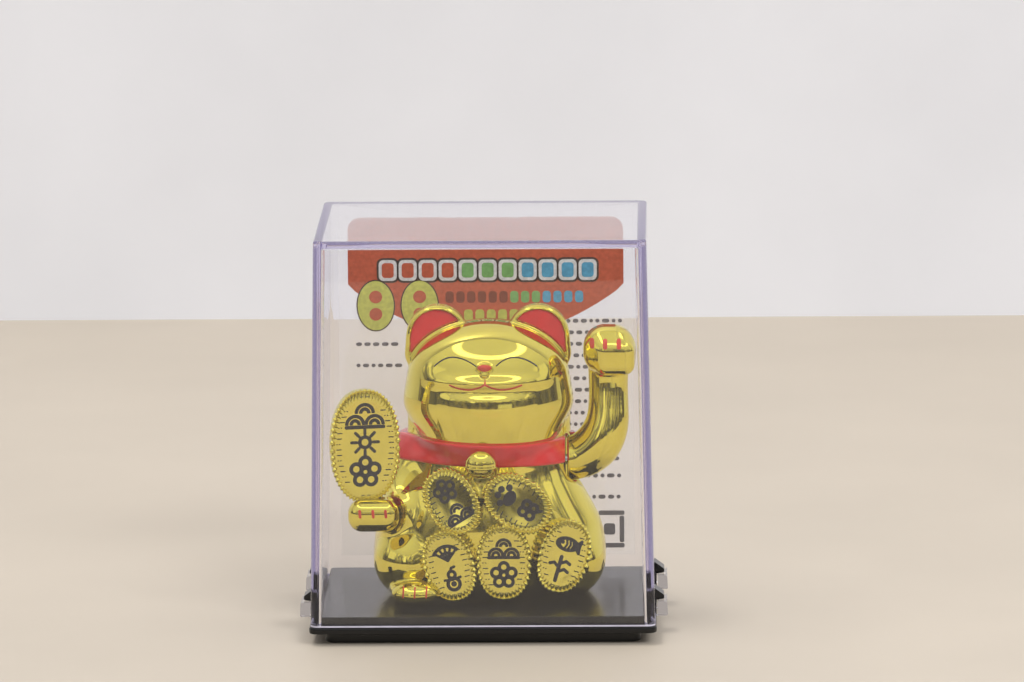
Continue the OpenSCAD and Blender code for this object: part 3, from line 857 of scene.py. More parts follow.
def fish(u, v):
    body = np.abs(length(u / 1.5, v / 0.85) * 0.95 - 0.95) - 0.2
    tail = [([(1.3, 0), (2.1, 0.9), (2.0, 0), (2.1, -0.9), (1.3, 0)], 0.3)]
    scales = [([(x, 0.5), (x + 0.2, 0), (x, -0.5)], 0.2) for x in (-0.2, 0.35, 0.85)]
    return np.minimum(body, marks(lines=tail + scales, dots=[(-0.8, 0.15, 0.22)])(u, v))


def waves(u, v):
    arcs = [np.maximum(marks([(x, y, 0.45, 0.28), (x, y, 0.95, 0.28)])(u, v), y - v)
            for x, y in ((-1.1, -0.9), (1.1, -0.9), (0, 0.4))]
    return np.minimum.reduce(arcs + [stroke(u, v, [(-2.1, -1.2), (2.1, -1.2)], 0.3)])


blossom = marks([(0, 0, 0.42, 0.26)] + [(x, y, 0.62, 0.34) for x, y in around(5, 1.15)])
clover = marks([(x, y, 0.6, 0.42) for x, y in around(4, 0.85, 45)],
               [([(0, -0.2), (0.3, -1.2), (0.9, -1.8)], 0.28)])
sun = marks([(0, 0, 0.75, 0.36)],
            [([(1.2 * x, 1.2 * y), (1.9 * x, 1.9 * y)], 0.3) for x, y in around(8, 1, 0)])
gourd = marks([(0, -0.75, 0.95, 0.4), (0, 0.75, 0.55, 0.36)],
              [([(0, 1.3), (0.15, 1.8), (0.7, 1.9)], 0.26), ([(-1.3, 0.1), (0, -0.05), (1.3, 0.1)], 0.26)],
              [(0, -0.75, 0.36)])
stems = [([(-0.3, low), (-0.3, high)], 0.5) for low, high in ((-1.9, -0.6), (-0.3, 0.7), (1.0, 1.9))]
leaves = [([(-0.3, y), (-0.3 + side, y + 0.6), (-0.3 + side * 1.7, y + 0.3)], 0.36)
          for y, side in ((-0.5, 1), (0.8, 1), (0.2, -1))]
bamboo = marks(lines=stems + leaves)

# name: motif, place across, place up, size
MOTIFS = {
    "koban_chest_left": [(blossom, 0, 2.4, 1.2), (waves, 0, -2.5, 1.25)],
    "koban_chest_right": [(paw_print, 0, 2.5, 1.25), (clover, 0, -2.4, 1.25)],
    "koban_low_left": [(fan, 0, 2.5, 1.15), (gourd, 0, -2.6, 1.2)],
    "koban_low_mid": [(waves, 0, 2.6, 1.35), (blossom, 0, -2.4, 1.35)],
    "koban_low_right": [(fish, 0, 2.4, 1.3), (bamboo, 0, -2.5, 1.2)],
    "held_koban": [(waves, 0, 5.7, 1.7), (sun, 0, 0.7, 1.35), (blossom, 0, -5.0, 1.6)],
}


def ticks(u, v, a, b):
    """Short dashes in level rows down both sides of a coin's face, and two at its top and bottom."""
    wide, tall = a - RIM, b - RIM
    lines = []
    rows = int(tall * 2 * 0.78 / TICK_STEP)
    for k in range(rows):
        y = (k - (rows - 1) / 2) * TICK_STEP
        edge = wide * math.sqrt(max(0.0, 1 - (y / tall) ** 2)) - 0.32
        for side in (-1, 1):
            split = (k + (side > 0)) % 3 == 1
            for x0, x1 in [(edge - 0.1, edge), (edge - 0.62, edge - 0.5)] if split else [(edge - 0.85, edge)]:
                lines.append(([(side * x0, y), (side * x1, y)], 0.21))
    for x in (-0.55, 0.55):
        for y in (0.5 - tall, tall - 0.5):
            lines.append(([(x - 0.25, y), (x + 0.25, y)], 0.15))
    return marks(lines=lines)(u, v)


def print_form(name, coin):
    """Marks on a coin's face, in the coin's own plane: x across, y out of the face, z up."""
    a, b = coin[4:6]

    def form(p):
        u, v = p[0], p[2]
        d = ticks(u, v, a, b)
        for motif, x, y, size in MOTIFS[name]:
            d = np.minimum(d, motif((u - x) / size, (v - y) / size) * size - BOLD)
        edge = (length(u / (a - RIM), v / (b - RIM)) - 1.0) * (a - RIM)
        d = np.maximum(d, edge + 0.15)
        out = -p[1] - face_depth(u, v, a, b)
        return smax(d + 0 * p[1], np.abs(out) - 0.07, 0.04)
    return form


for name, coin in COINS.items():
    a, b, back = coin[4:]
    beads = 58 if name == "held_koban" else 38
    points, faces = coin_points(coin, beads)
    piece(name + "_coin", points, faces, ON_CAT, GOLD_COIN, (name,))
    form = print_form(name, coin)
    cell = 0.085
    points, quads = net(form, (-a, 0.1, -b), (a, 1.1, b), cell)
    points = settle(form, points, cell * 0.5, 3)
    spots = set_coin(points[:, 0], points[:, 2], -points[:, 1], coin)
    piece(name + "_print", spots, quads.tolist(), ON_CAT, BLACK_INK)

# ---- claw marks


fist_claws = [[(x, 18.0), (x + 0.1, 16.9)] for x in (-24.3, -21.8, -19.4)]
paint("fist_claw_paint", skin(strokes2d(fist_claws, 0.55)), (-26.5, -16, 16), (-17.5, -11, 19.5), 0.1,
      RED_MARK)
foot_claws = [[(x, 4.0), (x - 0.1, 2.2)] for x in (-16.0, -13.8, -11.6)]
paint("foot_claw_paint", skin(strokes2d(foot_claws, 0.32)), (-18.6, -20.5, 1.2), (-8.5, -13.5, 5), 0.1,
      RED_MARK)

# ---- swinging arm (millimetres from the cat's middle at the shoulder axis)

HUB_X = 15.0
ARM_WALL = 1.2
POST_X = 20.0
# points of the arm's middle line with the radius there
ARM_LINE = [(13.0, 0, 0.1, 4.1), (15.2, 0, 0.2, 4.1), (17.4, 0, 0.6, 4.2), (19.2, -0.2, 1.6, 4.35),
            (20.8, -0.4, 3.1, 4.4), (22.0, -0.5, 5.2, 4.25), (22.7, -0.2, 7.6, 4.0), (22.9, 0.3, 10.4, 3.75),
            (22.9, 0.9, 14.0, 3.65), (22.9, 1.2, 18.0, 3.8), (22.9, 1.3, 20.0, 3.9)]


def smooth_line(points, n):
    """Catmull-Rom curve through the points, without its first and last, n steps to each span."""
    q = np.array(points, float)
    out = []
    for a, b, c, d in zip(q[:-3], q[1:-2], q[2:-1], q[3:]):
        for t in np.linspace(0, 1, n, endpoint=False):
            out.append(0.5 * (2 * b + (c - a) * t + (2 * a - 5 * b + 4 * c - d) * t * t
                              + (3 * b - 3 * c + d - a) * t ** 3))
    return out + [q[-2]]


ARM_POINTS = smooth_line(ARM_LINE, 4)


def arm_form(p):
    d = limb(p, [q[:3] for q in ARM_POINTS], [q[3] for q in ARM_POINTS], 0.25)
    paw = pad(p, (23.1, -1.7, 21.6), (4.95, 4.8, 4.75), 4.2)
    palm = pad(p, (24.2, -3.9, 20.6), (3.8, 3.3, 3.4), 2.1)
    d = smin(d, smin(paw, palm, 1.0), 0.7)
    return smax(d, HUB_X - p[0], 0.4)


def arm_shell(p, front):
    d = arm_form(p)
    side = HALF_GAP + (p[1] if front else -p[1])
    bore = np.maximum(length(p[1], p[2]) - 1.0, p[0] - POST_X)
    post = np.maximum(length(p[1], p[2]) - 2.4, p[0] - POST_X)
    hollow = np.maximum(d + ARM_WALL, -post)
    return np.maximum(np.maximum(smax(d, side, 0.3), -hollow), -bore)


form_piece("arm_front", lambda p: arm_shell(p, True), (14, -10, -5.5), (29.5, 1, 28), CELL_SIZE, ON_ARM,
           GOLD, ("arm_front_shell",))
form_piece("arm_back", lambda p: arm_shell(p, False), (14, -1, -5.5), (29.5, 6, 28), CELL_SIZE, ON_ARM,
           GOLD, ("arm_back_shell",))


paw_claws = strokes2d([[(x, 24.0), (x, 22.9)] for x in (19.9, 22.4, 25.0)], 0.85)
paint("paw_claw_paint", skin(paw_claws, ground=arm_form), (19, -9.5, 21.5), (27.5, -2, 25.5), 0.1, RED_MARK,
      ON_ARM)

# ---- tray


def rounded_outline(w, d, r, n=8):
    """Points round a rectangle with rounded corners, anticlockwise."""
    points = []
    for k, (sx, sy) in enumerate(((1, 1), (-1, 1), (-1, -1), (1, -1))):
        for t in np.linspace(0, math.pi / 2, n):
            angle = k * math.pi / 2 + t
            points.append((sx * (w / 2 - r) + r * math.cos(angle), sy * (d / 2 - r) + r * math.sin(angle)))
    return np.array(points)


def loft(sections, n=8):
    """Rings of a stack of rounded rectangles: (width, depth, corner radius, z)."""
    rings = []
    for w, d, r, z in sections:
        outline = rounded_outline(w, d, max(r, 0.05), n)
        rings.append(np.column_stack([outline, np.full(len(outline), z)]))
    return rings


def edge_steps(w, d, r, top, fillet, n=4):
    """Sections that round the top edge of a block by fillet."""
    steps = []
    for t in np.linspace(0, math.pi / 2, n):
        inset = fillet * (1 - math.cos(t))
        rise = fillet * (1 - math.sin(t))
        steps.append((w - 2 * inset, d - 2 * inset, r - inset, top - rise))
    return steps


TRAY_W = TRAY_HI[0] - TRAY_LO[0]
TRAY_D = TRAY_HI[1] - TRAY_LO[1]
FOOT_IN = 3.0
FOOT_H = 2.2
COVER_W = 65.0
COVER_D = COVER_HI[1] - COVER_LO[1]
WALL = 1.5
DECK_W = COVER_W - 2 * WALL - 0.6
DECK_D = COVER_D - 2 * WALL - 0.6
SKIRT = 1.4
SCREW_X = 17.0


def tray_sections():
    """Outside of the tray from the foot up to the deck, then its hollow underside."""
    foot_w, foot_d = TRAY_W - 2 * FOOT_IN, TRAY_D - 2 * FOOT_IN
    out = [(foot_w - 0.4, foot_d - 0.4, 1.8, 0.0), (foot_w, foot_d, 2.0, 0.2), (foot_w, foot_d, 2.0, FOOT_H)]
    out += [(TRAY_W - 0.6, TRAY_D - 0.6, 1.4, FOOT_H), (TRAY_W - 0.15, TRAY_D - 0.15, 1.55, FOOT_H + 0.1),
            (TRAY_W, TRAY_D, 1.6, FOOT_H + 0.35)]
    out += edge_steps(TRAY_W, TRAY_D, 1.6, SEAT_Z, 0.4)
    out += [(DECK_W + 0.3, DECK_D + 0.3, 1.1, SEAT_Z), (DECK_W, DECK_D, 1.0, SEAT_Z + 0.15)]
    out += edge_steps(DECK_W, DECK_D, 1.0, DECK_Z, 0.3)
    hollow_w, hollow_d = foot_w - 2 * SKIRT, foot_d - 2 * SKIRT
    under = [(hollow_w, hollow_d, 1.0, DECK_Z - SKIRT), (hollow_w, hollow_d, 1.0, 0.2),
             (hollow_w + 0.4, hollow_d + 0.4, 1.2, 0.0)]
    return out, under


outside, under = tray_sections()
piece("tray", *rings_mesh(loft(under + outside)), ON_TRAY, BLACK, ("base_tray",))


def boss_rings(outer, inner, z0, z1, n=32):
    """Rings of a round boss with a hole."""
    t = np.linspace(0, 2 * math.pi, n, endpoint=False)
    return [np.column_stack([r * np.cos(t), r * np.sin(t), np.full(n, z)])
            for r, z in ((outer, z0 + 0.15), (outer, z1), (inner, z1), (inner, z0), (outer - 0.15, z0))]


for side, word in ((-1, "left"), (1, "right")):
    points, faces = loop_mesh(boss_rings(3.2, 2.15, 0.9, DECK_Z - SKIRT + 0.05))
    piece(f"tray_boss_{word}", points, faces, ((CAT[0] + side * SCREW_X, CAT[1], 0), "figure"), BLACK)

# ---- plate in the cat's floor

PLATE_A = 17.5
PLATE_B = 10.7
PLATE_T = 1.3
PLATE_SCREW_Y = 8.5
PLATE_BORE = 1.0
PILLAR_R = 2.7
PILLAR_H = 8.0


def plate_form(p):
    """Plate and its two screw pillars, kept inside the shell."""
    disc = (length(p[0] / PLATE_A, p[1] / PLATE_B) - 1.0) * PLATE_B
    disc = smax(disc, np.abs(p[2] - PLATE_T / 2) - PLATE_T / 2, 0.1)
    x = np.abs(p[0]) - SCREW_X
    pillar = smax(length(x, p[1]) - PILLAR_R, np.abs(p[2] - PILLAR_H / 2) - PILLAR_H / 2, 0.1)
    bore = np.maximum(length(x, p[1]) - PLATE_BORE, p[2] - (PILLAR_H - 0.8))
    hole = length(p[0], np.abs(p[1]) - PLATE_SCREW_Y) - PLATE_BORE
    d = np.maximum(smin(disc, pillar, 0.2), -np.minimum(bore, hole))
    return np.maximum(d, cat_form(p) + SHELL_T + 0.05)


form_piece("floor_plate", plate_form, (-20, -12, -1), (20, 12, 9), 0.4, ON_CAT, WHITE,
           ("bottom_plate",))

# ---- snap arms

CLIP_Y = 12.0
ARM_HALF = 2.1
ARM_IN = DECK_W / 2 + 0.4
ARM_OUT = COVER_W / 2 + 0.2
LOOP_IN = ARM_OUT + 0.25
LOOP_OUT = COVER_W / 2 + 2.4
LOOP_H = 2.8
BARB_Z = SEAT_Z + LOOP_H + 0.2
BARB_H = 2.2


def prism(outline, y0, y1, bevel):
    """Prism of an xz outline between y0 and y1, with its end edges bevelled."""
    centre = np.mean(outline, axis=0)
    rings = []
    for y, inset in ((y0, bevel), (y0 + bevel, 0.0), (y1 - bevel, 0.0), (y1, bevel)):
        ring = []
        for q in outline:
            away = q - centre
            ring.append([*(q - away / np.linalg.norm(away) * inset), y])
        rings.append(np.array(ring)[:, [0, 2, 1]])
    return rings_mesh(rings)


def smooth_corner_outline(points, r, n=4):
    """Rounds each corner of a closed outline."""
    points = [np.array(q, float) for q in points]
    out = []
    for i, q in enumerate(points):
        a = points[i - 1] - q
        b = points[(i + 1) % len(points)] - q
        cut = min(r, 0.45 * np.linalg.norm(a), 0.45 * np.linalg.norm(b))
        start = q + a / np.linalg.norm(a) * cut
        end = q + b / np.linalg.norm(b) * cut
        for t in np.linspace(0, 1, n):
            out.append((1 - t) ** 2 * start + 2 * t * (1 - t) * q + t * t * end)
    return np.array(out)


def at_clips(spans, bevel):
    """Points and faces of prisms at the four clips; a span is an xz outline with its lowest and highest y."""
    points, faces = [], []
    start = 0
    for sx in (1, -1):
        for sy in (-1, 1):
            for outline, y0, y1 in spans:
                own, own_faces = prism(outline, sy * CLIP_Y + y0, sy * CLIP_Y + y1, bevel)
                points.append(own * np.array([sx, 1, 1]))
                faces += [tuple(i + start for i in face)[::-sx] for face in own_faces]
                start += len(own)
    return np.concatenate(points), faces


hook = [(ARM_IN, SEAT_Z - 0.3), (ARM_OUT, SEAT_Z - 0.3), (ARM_OUT, BARB_Z), (LOOP_OUT - 0.7, BARB_Z),
        (LOOP_OUT - 0.7, BARB_Z + 0.7), (ARM_OUT - 0.5, BARB_Z + BARB_H), (ARM_IN, BARB_Z + BARB_H)]
hooks = at_clips([(smooth_corner_outline(hook, 0.25), -ARM_HALF, ARM_HALF)], 0.15)
piece("snap_hooks", *hooks, ON_TRAY, BLACK, ("snap_arms",))

# ---- clear cover

DRAFT = 2.6
COVER_H = COVER_HI[2] - COVER_LO[2]


def cover_size(z, inset):
    """Width and depth of the drafted cover at height z above its rim."""
    lean = DRAFT * z / COVER_H
    return COVER_W - lean - 2 * inset, COVER_D - lean - 2 * inset


def cover_rings():
    top_w, top_d = cover_size(COVER_H, 0)
    out = [(*cover_size(0.15, 0.12), 1.4, SEAT_Z + 0.03), (*cover_size(0.3, 0), 1.5, SEAT_Z + 0.2)]
    out += [(*cover_size(z, 0), 1.5, SEAT_Z + z) for z in (20, 40, 60)]
    out += edge_steps(top_w, top_d, 1.5, COVER_HI[2], 0.45, 5)
    in_w, in_d = cover_size(COVER_H - WALL, WALL)
    inner = edge_steps(in_w, in_d, 0.8, COVER_HI[2] - WALL, 0.3)[::-1]
    inner += [(*cover_size(z, WALL), 0.8, SEAT_Z + z) for z in (60, 40, 20, 0.3)]
    inner += [(*cover_size(0.15, WALL - 0.12), 0.9, SEAT_Z + 0.03)]
    return loft(inner + out)


cover = piece("clear_cover", *rings_mesh(cover_rings()), ON_COVER, CLEAR, ("case_cover",))

def loop_outline(x0):
    """Side view of a loop's part, from x0 out to the loop's outside."""
    low, high = SEAT_Z + 0.1, SEAT_Z + LOOP_H
    return smooth_corner_outline([(x0, low), (LOOP_OUT, low), (LOOP_OUT - 0.15, high), (x0, high)], 0.3)


slot_y, loop_y = ARM_HALF + 0.4, ARM_HALF + 1.7
post, bar = loop_outline(COVER_W / 2 - 0.4), loop_outline(LOOP_IN)
loop_parts = at_clips([(post, -loop_y, -slot_y), (bar, -slot_y, slot_y), (post, slot_y, loop_y)], 0.05)
loops = piece("cover_loops", *loop_parts, ON_COVER, CLEAR_LOOP)
for clear in (cover, loops):
    clear.visible_shadow = False

def rim_highlight_rings():
    """Painted highlight: a light violet strip along the outside of the cover's open rim, standing in for the
    bright line where its edge catches light.
    """
    steps = ((-0.3, 0.05), (0.03, 0.05), (0.03, 0.32), (-0.3, 0.32))
    return loft([(COVER_W + 2 * grow, COVER_D + 2 * grow, 1.5, SEAT_Z + z) for grow, z in steps])


# painted highlight: light violet paint stands in for the bright line of light along the cover's bottom edge
RIM_HIGHLIGHT = gloss_paint("clear_plastic_painted_highlight", (0.62, 0.6, 0.74), 0.15, 0.6)
piece("cover_rim_painted_highlight", *loop_mesh(rim_highlight_rings()), ON_COVER, RIM_HIGHLIGHT)

# ---- printed film on the rear wall

FILM_W = FILM_HI[0] - FILM_LO[0]
FILM_LEAN = math.atan(DRAFT / 2 / COVER_H)
FILM_Y0 = COVER_D / 2 - WALL
PRINT_INKS = {
    "arch": ink("ink_orange", (0.52, 0.11, 0.055)),
    "yellow": ink("ink_yellow", (0.56, 0.57, 0.12)),
    "lime": ink("ink_lime", (0.5, 0.52, 0.1)),
    "green": ink("ink_green", (0.2, 0.42, 0.14)),
    "brown": ink("ink_brown", (0.22, 0.05, 0.03)),
    "white": ink("ink_white", (0.72, 0.71, 0.7)),
    "outline": ink("ink_dark", (0.08, 0.05, 0.04)),
    "grey": ink("ink_grey", (0.16, 0.15, 0.16)),
    "cyan": ink("ink_cyan", (0.1, 0.36, 0.55)),
}


def film_point(x, up, out):
    """Point on the rear wall's inside: up from the cover's rim, out towards the front."""
    y = FILM_Y0 - 0.07 - math.sin(FILM_LEAN) * up - out
    return (x, y, SEAT_Z + up)


def flat_print(name, outlines, ink_name, layer=0):
    """Thin closed shapes on the film's front, one for each outline; from layer 1 on they are on its back too."""
    points, faces = [], []
    sides = [(0.17 + 0.04 * layer, 0.03)]
    if layer:
        sides.append((-0.012 - 0.015 * layer, 0.01))
    for out, thick in sides:
        for outline in outlines:
            n = len(outline)
            start = len(points)
            points += [film_point(x, z, out) for x, z in outline]
            points += [film_point(x, z, out + thick) for x, z in outline]
            faces.append([start + i for i in range(n)][::-1])
            faces.append([start + n + i for i in range(n)])
            for i in range(n):
                j = (i + 1) % n
                faces.append((start + i, start + j, start + n + j, start + n + i))
    return piece(name, points, [f[::-1] for f in faces], ON_COVER, PRINT_INKS[ink_name])


def pill(x, z, w, h, n=6):
    """Outline of a small bar with round ends."""
    r = h / 2
    out = []
    for cx, start in ((x + w / 2 - r, -90), (x - w / 2 + r, 90)):
        for k in range(n):
            t = math.radians(start + 180 * k / (n - 1))
            out.append((cx + r * math.cos(t), z + r * math.sin(t)))
    return out


def tile(x, z, w, h, r):
    """Outline of a rounded rectangle."""
    return [(x + px, z + pz) for px, pz in rounded_outline(w, h, r, 5)]


def disc(x, z, rx, rz, n=40):
    """Outline of an ellipse."""
    turns = [2 * math.pi * k / n for k in range(n)]
    return [(x + rx * math.cos(t), z + rz * math.sin(t)) for t in turns]


FILM_T = 0.16
film_low, film_high = FILM_LO[2] - SEAT_Z, FILM_HI[2] - SEAT_Z
film_side = FILM_W / 2
film_corners = [(-film_side, film_low), (film_side, film_low), (film_side, film_high), (-film_side, film_high)]
film_points = [film_point(x, z, out) for out in (0.0, FILM_T) for x, z in film_corners]
film_faces = [(0, 1, 2, 3), (7, 6, 5, 4)] + [(4 + i, 4 + (i + 1) % 4, (i + 1) % 4, i) for i in range(4)]
film = piece("film_sheet", film_points, film_faces, ON_COVER, FILM, ("back_film",))
film.visible_shadow = False

# places on the film: x from its middle, z up from the cover's rim
ARCH_HALF = 26.6
ARCH_TOP = 69.3
ARCH_R = 2.4
ARCH_SIDE = 57.6
ARCH_LOW = 47.0
ARCH_RISE = 10.2
corner = [(ARCH_R * math.sin(t), ARCH_R * math.cos(t)) for t in np.linspace(0, math.pi / 2, 7)]
arch = [(ARCH_R - ARCH_HALF - x, ARCH_TOP - ARCH_R + z) for x, z in corner] + [(-ARCH_HALF, ARCH_SIDE)]
arch_x = np.linspace(-ARCH_HALF, ARCH_HALF, 40)[1:-1]
arch += [(x, ARCH_LOW + ARCH_RISE * (x / ARCH_HALF) ** 2) for x in arch_x]
arch += [(ARCH_HALF, ARCH_SIDE)] + [(ARCH_HALF - ARCH_R + x, ARCH_TOP - ARCH_R + z) for x, z in corner[::-1]]
flat_print("film_arch", [arch], "arch")
DISC_X = (-21.3, -12.8)
DISC_Z = 53.4
flat_print("film_disc_edges", [disc(x, DISC_Z, 3.75, 5.1) for x in DISC_X], "outline", 1)
flat_print("film_discs", [disc(x, DISC_Z, 3.5, 4.85) for x in DISC_X], "yellow", 2)
disc_marks = [disc(x, DISC_Z + dz, 1.25, 1.25) for x in DISC_X for dz in (-1.7, 1.7)]
flat_print("film_disc_marks", disc_marks, "arch", 3)
TITLE_X = np.linspace(-18.9, 19.7, 11)
TITLE_Z = 60.3
TITLE_INKS = ("arch",) * 4 + ("green",) * 3 + ("cyan",) * 4
flat_print("film_title_edge", [tile(x, TITLE_Z, 4.3, 4.9, 1.2) for x in TITLE_X], "outline", 1)
flat_print("film_title_ground", [tile(x, TITLE_Z, 3.5, 4.1, 0.9) for x in TITLE_X], "white", 2)
for word in ("arch", "green", "cyan"):
    own = [x for x, ink_name in zip(TITLE_X, TITLE_INKS) if ink_name == word]
    flat_print("film_title_" + word, [tile(x, TITLE_Z, 2.3, 2.9, 0.6) for x in own], word, 3)
SUB_X = np.linspace(-7.0, 18.0, 13)
SUB_Z = 55.0
SUB_INKS = ("brown",) * 6 + ("green",) * 3 + ("cyan",) * 4
for word in ("brown", "green", "cyan"):
    own = [x for x, ink_name in zip(SUB_X, SUB_INKS) if ink_name == word]
    flat_print("film_sub_" + word, [tile(x, SUB_Z, 1.6, 2.3, 0.6) for x in own], word, 1)
flat_print("film_low_lime", [tile(x, 51.4, 1.7, 2.3, 0.6) for x in np.linspace(-3.4, 5.4, 5)], "lime", 1)

rng = np.random.default_rng(11)


def text_rows(x0, x1, z0, z1, rows, height):
    """Plain bars that stand where small print would be."""
    out = []
    for z in np.linspace(z0, z1, rows):
        x = x0
        while x < x1:
            w = rng.uniform(0.7, 1.5)
            out.append(pill(x + w / 2, z, w, height))
            x += w + 0.45
    return out


small_bars = text_rows(15.5, 25.5, 50.2, 23.0, 13, 0.75) + text_rows(-25.2, -17.5, 45.8, 41.6, 2, 0.7)
small_bars += text_rows(17.5, 26.0, 19.6, 15.4, 2, 0.8)
flat_print("film_small_bars", small_bars, "grey")
mark = [(24.0, 12.2, 5.0, 0.9, 0.3), (24.0, 5.8, 5.0, 0.9, 0.3), (26.0, 9.0, 0.9, 5.2, 0.3),
        (23.6, 9.0, 2.2, 2.2, 0.5)]
flat_print("film_frame_mark", [tile(*part) for part in mark], "grey")

# ---- stage, light and camera

# metres: half the stage's width, the floor's front and back, the wall's place, foot and top
STAGE_HALF = 1.5
FLOOR_FRONT = -0.55
FLOOR_BACK = 1.5
WALL_Y = 0.33
WALL_LOW = -0.5
WALL_HIGH = 1.6


def stage_plane(name, front, back, color, rough):
    """Plane as wide as the stage between two edges, each a y and a z."""
    corners = [(-STAGE_HALF, *front), (STAGE_HALF, *front), (STAGE_HALF, *back), (-STAGE_HALF, *back)]
    mesh = bpy.data.meshes.new(name)
    mesh.from_pydata(corners, [], [(0, 1, 2, 3)])
    obj = bpy.data.objects.new(name, mesh)
    bpy.context.scene.collection.objects.link(obj)
    m = Nodes(name)
    m.tone(m.noise(60.0, 3.0), color, 0.97, 1.03)
    m.set(Roughness=rough)
    mesh.materials.append(m.material)
    return m


stage_plane("floor", (FLOOR_FRONT, 0), (FLOOR_BACK, 0), (0.5, 0.44, 0.365), 0.5)
wall = stage_plane("wall", (WALL_Y, WALL_LOW), (WALL_Y, WALL_HIGH), (0.8, 0.81, 0.86), 0.9)
# the wall has one side, so that it doesn't hide the object from behind
wall.swap(wall.add("ShaderNodeNewGeometry").outputs["Backfacing"], wall.add("ShaderNodeBsdfTransparent"))


def area_light(name, place, size, power, color):
    """Square lamp that points at the middle of the object and isn't mirrored in it."""
    data = bpy.data.lights.new(name, "AREA")
    data.shape = "RECTANGLE"
    data.size = size
    data.energy = power
    data.color = color
    obj = bpy.data.objects.new(name, data)
    obj.location = place
    obj.rotation_euler = (LAMP_TARGET - Vector(place)).to_track_quat("-Z", "Y").to_euler()
    obj.visible_glossy = False
    obj.visible_transmission = False
    bpy.context.scene.collection.objects.link(obj)


LAMP_TARGET = Vector((0, 0, 0.03))
area_light("key", (-0.35, 0.08, 1.15), 0.4, 5.0, (1.0, 0.985, 0.96))
area_light("fill", (0.6, -0.8, 0.8), 0.6, 8.0, (0.97, 0.98, 1.0))


class Surroundings(Graph):
    """Soft studio light, drawn by direction: around is the angle from the front, high the height's sine."""

    def __init__(self):
        world = bpy.data.worlds.new("studio")
        bpy.context.scene.world = world
        world.use_nodes = True
        super().__init__(world.node_tree)
        self.tree.nodes.clear()
        self.ray = self.add("ShaderNodeTexCoord").outputs["Generated"]
        split = self.add("ShaderNodeSeparateXYZ")
        self.feed(self.ray, split.inputs[0])
        self.high = split.outputs["Z"]
        self.level = self.math("MULTIPLY_ADD", self.high, 0.5, 0.5)
        front = self.math("MULTIPLY", split.outputs["Y"], -1.0)
        self.around = self.math("ARCTAN2", split.outputs["X"], front)

    def band(self, value, low, high, soft):
        """1 between low and high, 0 outside, with soft edges."""
        a = self.math("MULTIPLY_ADD", value, 1.0 / soft, 0.5 - low / soft)
        b = self.math("MULTIPLY_ADD", value, -1.0 / soft, 0.5 + high / soft)
        return self.math("MINIMUM", self.math("MAXIMUM", self.math("MINIMUM", a, b), 0.0), 1.0)

    def mix(self, kind, fac, a, b):
        n = self.add("ShaderNodeMix", data_type="RGBA", blend_type=kind)
        for name, value in (("Factor", fac), ("A", a), ("B", b)):
            self.feed(value, n.inputs[name])
        return n.outputs["Result"]


# windows: middle and half width round in degrees, lowest and highest, brightness
WINDOWS = ((-24, 4, 0.1, 0.4, 1.1), (-70, 12, 0.15, 0.45, 0.85), (28, 11, -0.07, 0.045, 0.7),
           (84, 8, 0.1, 0.45, 0.85), (128, 14, 0.1, 0.8, 0.8), (-140, 16, 0.1, 0.8, 0.8))
# brightness from straight down (0) over level (0.5) to straight up (1)
ROOM = [(0.0, (0.34, 0.3, 0.25)), (0.47, (0.17, 0.15, 0.13)), (0.5, (0.09, 0.085, 0.08)),
        (0.56, (0.11, 0.105, 0.1)), (0.61, (0.34, 0.33, 0.32)), (0.7, (0.6, 0.59, 0.58)),
        (0.85, (0.78, 0.77, 0.76)), (1.0, (0.8, 0.79, 0.78))]
FURNITURE = [(0.0, (0.35,) * 3), (0.44, (0.45,) * 3), (0.47, (1,) * 3), (0.56, (1,) * 3),
             (0.58, (1.9, 1.85, 1.7)), (1.0, (1.9, 1.85, 1.7))]


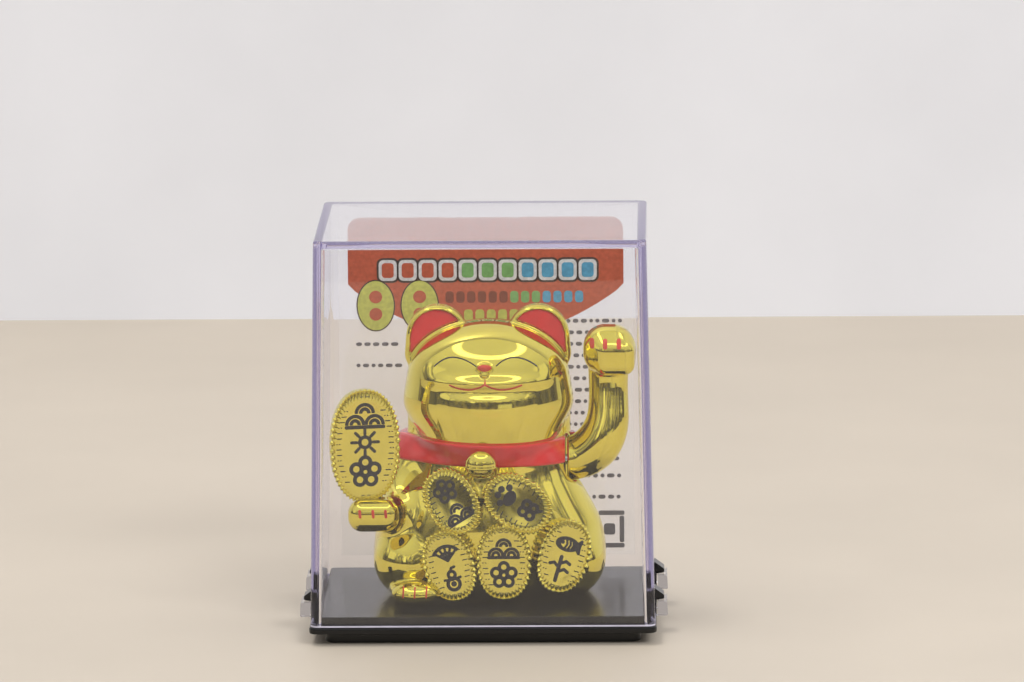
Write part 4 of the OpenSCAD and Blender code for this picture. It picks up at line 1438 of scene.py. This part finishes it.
def room_light():
    """World that lights the object and is mirrored in it."""
    w = Surroundings()
    color = w.ramp(w.level, ROOM)
    # furniture and shelves low in the room
    place = w.add("ShaderNodeCombineXYZ")
    w.feed(w.around, place.inputs[0])
    w.feed(w.math("MULTIPLY", w.high, 0.6), place.inputs[1])
    noise = w.add("ShaderNodeTexNoise", noise_dimensions="2D", Scale=7.0, Detail=2.0)
    w.feed(place.outputs[0], noise.inputs["Vector"])
    blocks = w.ramp(noise.outputs["Fac"], FURNITURE)
    color = w.mix("MULTIPLY", w.band(w.high, -0.3, 0.42, 0.1), color, blocks)
    for centre, half, bottom, top, level in WINDOWS:
        a, b = math.radians(centre - half), math.radians(centre + half)
        pane = w.math("MULTIPLY", w.band(w.around, a, b, 0.04), w.band(w.high, bottom, top, 0.03))
        color = w.mix("MIX", pane, color, (level, level * 0.98, level * 0.94, 1.0))
    # ring lamp overhead
    dot = w.add("ShaderNodeVectorMath", operation="DOT_PRODUCT")
    dot.inputs[1].default_value = Vector((0.02, -0.04, 1.0)).normalized()
    w.feed(w.ray, dot.inputs[0])
    tilt = w.math("ARCCOSINE", dot.outputs["Value"])
    ring = w.band(tilt, math.radians(25), math.radians(33), 0.05)
    color = w.mix("MIX", ring, color, (2.6, 2.55, 2.4, 1.0))
    # seen directly, or only through clear plastic, the surroundings are plain and pale
    path = w.add("ShaderNodeLightPath")
    bounces = w.math("ADD", path.outputs["Glossy Depth"], path.outputs["Diffuse Depth"])
    straight = w.math("LESS_THAN", bounces, 0.5)
    through = w.math("MULTIPLY", path.outputs["Is Transmission Ray"], straight)
    plain = w.math("MAXIMUM", path.outputs["Is Camera Ray"], through)
    color = w.mix("MIX", plain, color, (0.72, 0.72, 0.74, 1.0))
    back = w.add("ShaderNodeBackground")
    w.feed(color, back.inputs["Color"])
    w.feed(back.outputs["Background"], w.add("ShaderNodeOutputWorld").inputs["Surface"])


room_light()

CAMERA_PLACE = Vector((35.574, -1405.367, 302.666 + SEAT_Z)) * MM
CAMERA_AHEAD = Vector((-0.021097, 0.984031, -0.176742))
CAMERA_RIGHT = Vector((0.999765, 0.019890, -0.008603))
camera_data = bpy.data.cameras.new("camera")
camera_data.sensor_width = 36.0
camera_data.lens = 263.67
camera_data.clip_start = 0.05
camera = bpy.data.objects.new("camera", camera_data)
bpy.context.scene.collection.objects.link(camera)
ahead = CAMERA_AHEAD.normalized()
right = (CAMERA_RIGHT - CAMERA_RIGHT.dot(ahead) * ahead).normalized()
up = right.cross(ahead)
camera.matrix_world = Matrix.Translation(CAMERA_PLACE) @ Matrix((right, up, -ahead)).transposed().to_4x4()
bpy.context.scene.camera = camera
bpy.context.scene.view_settings.view_transform = "Standard"
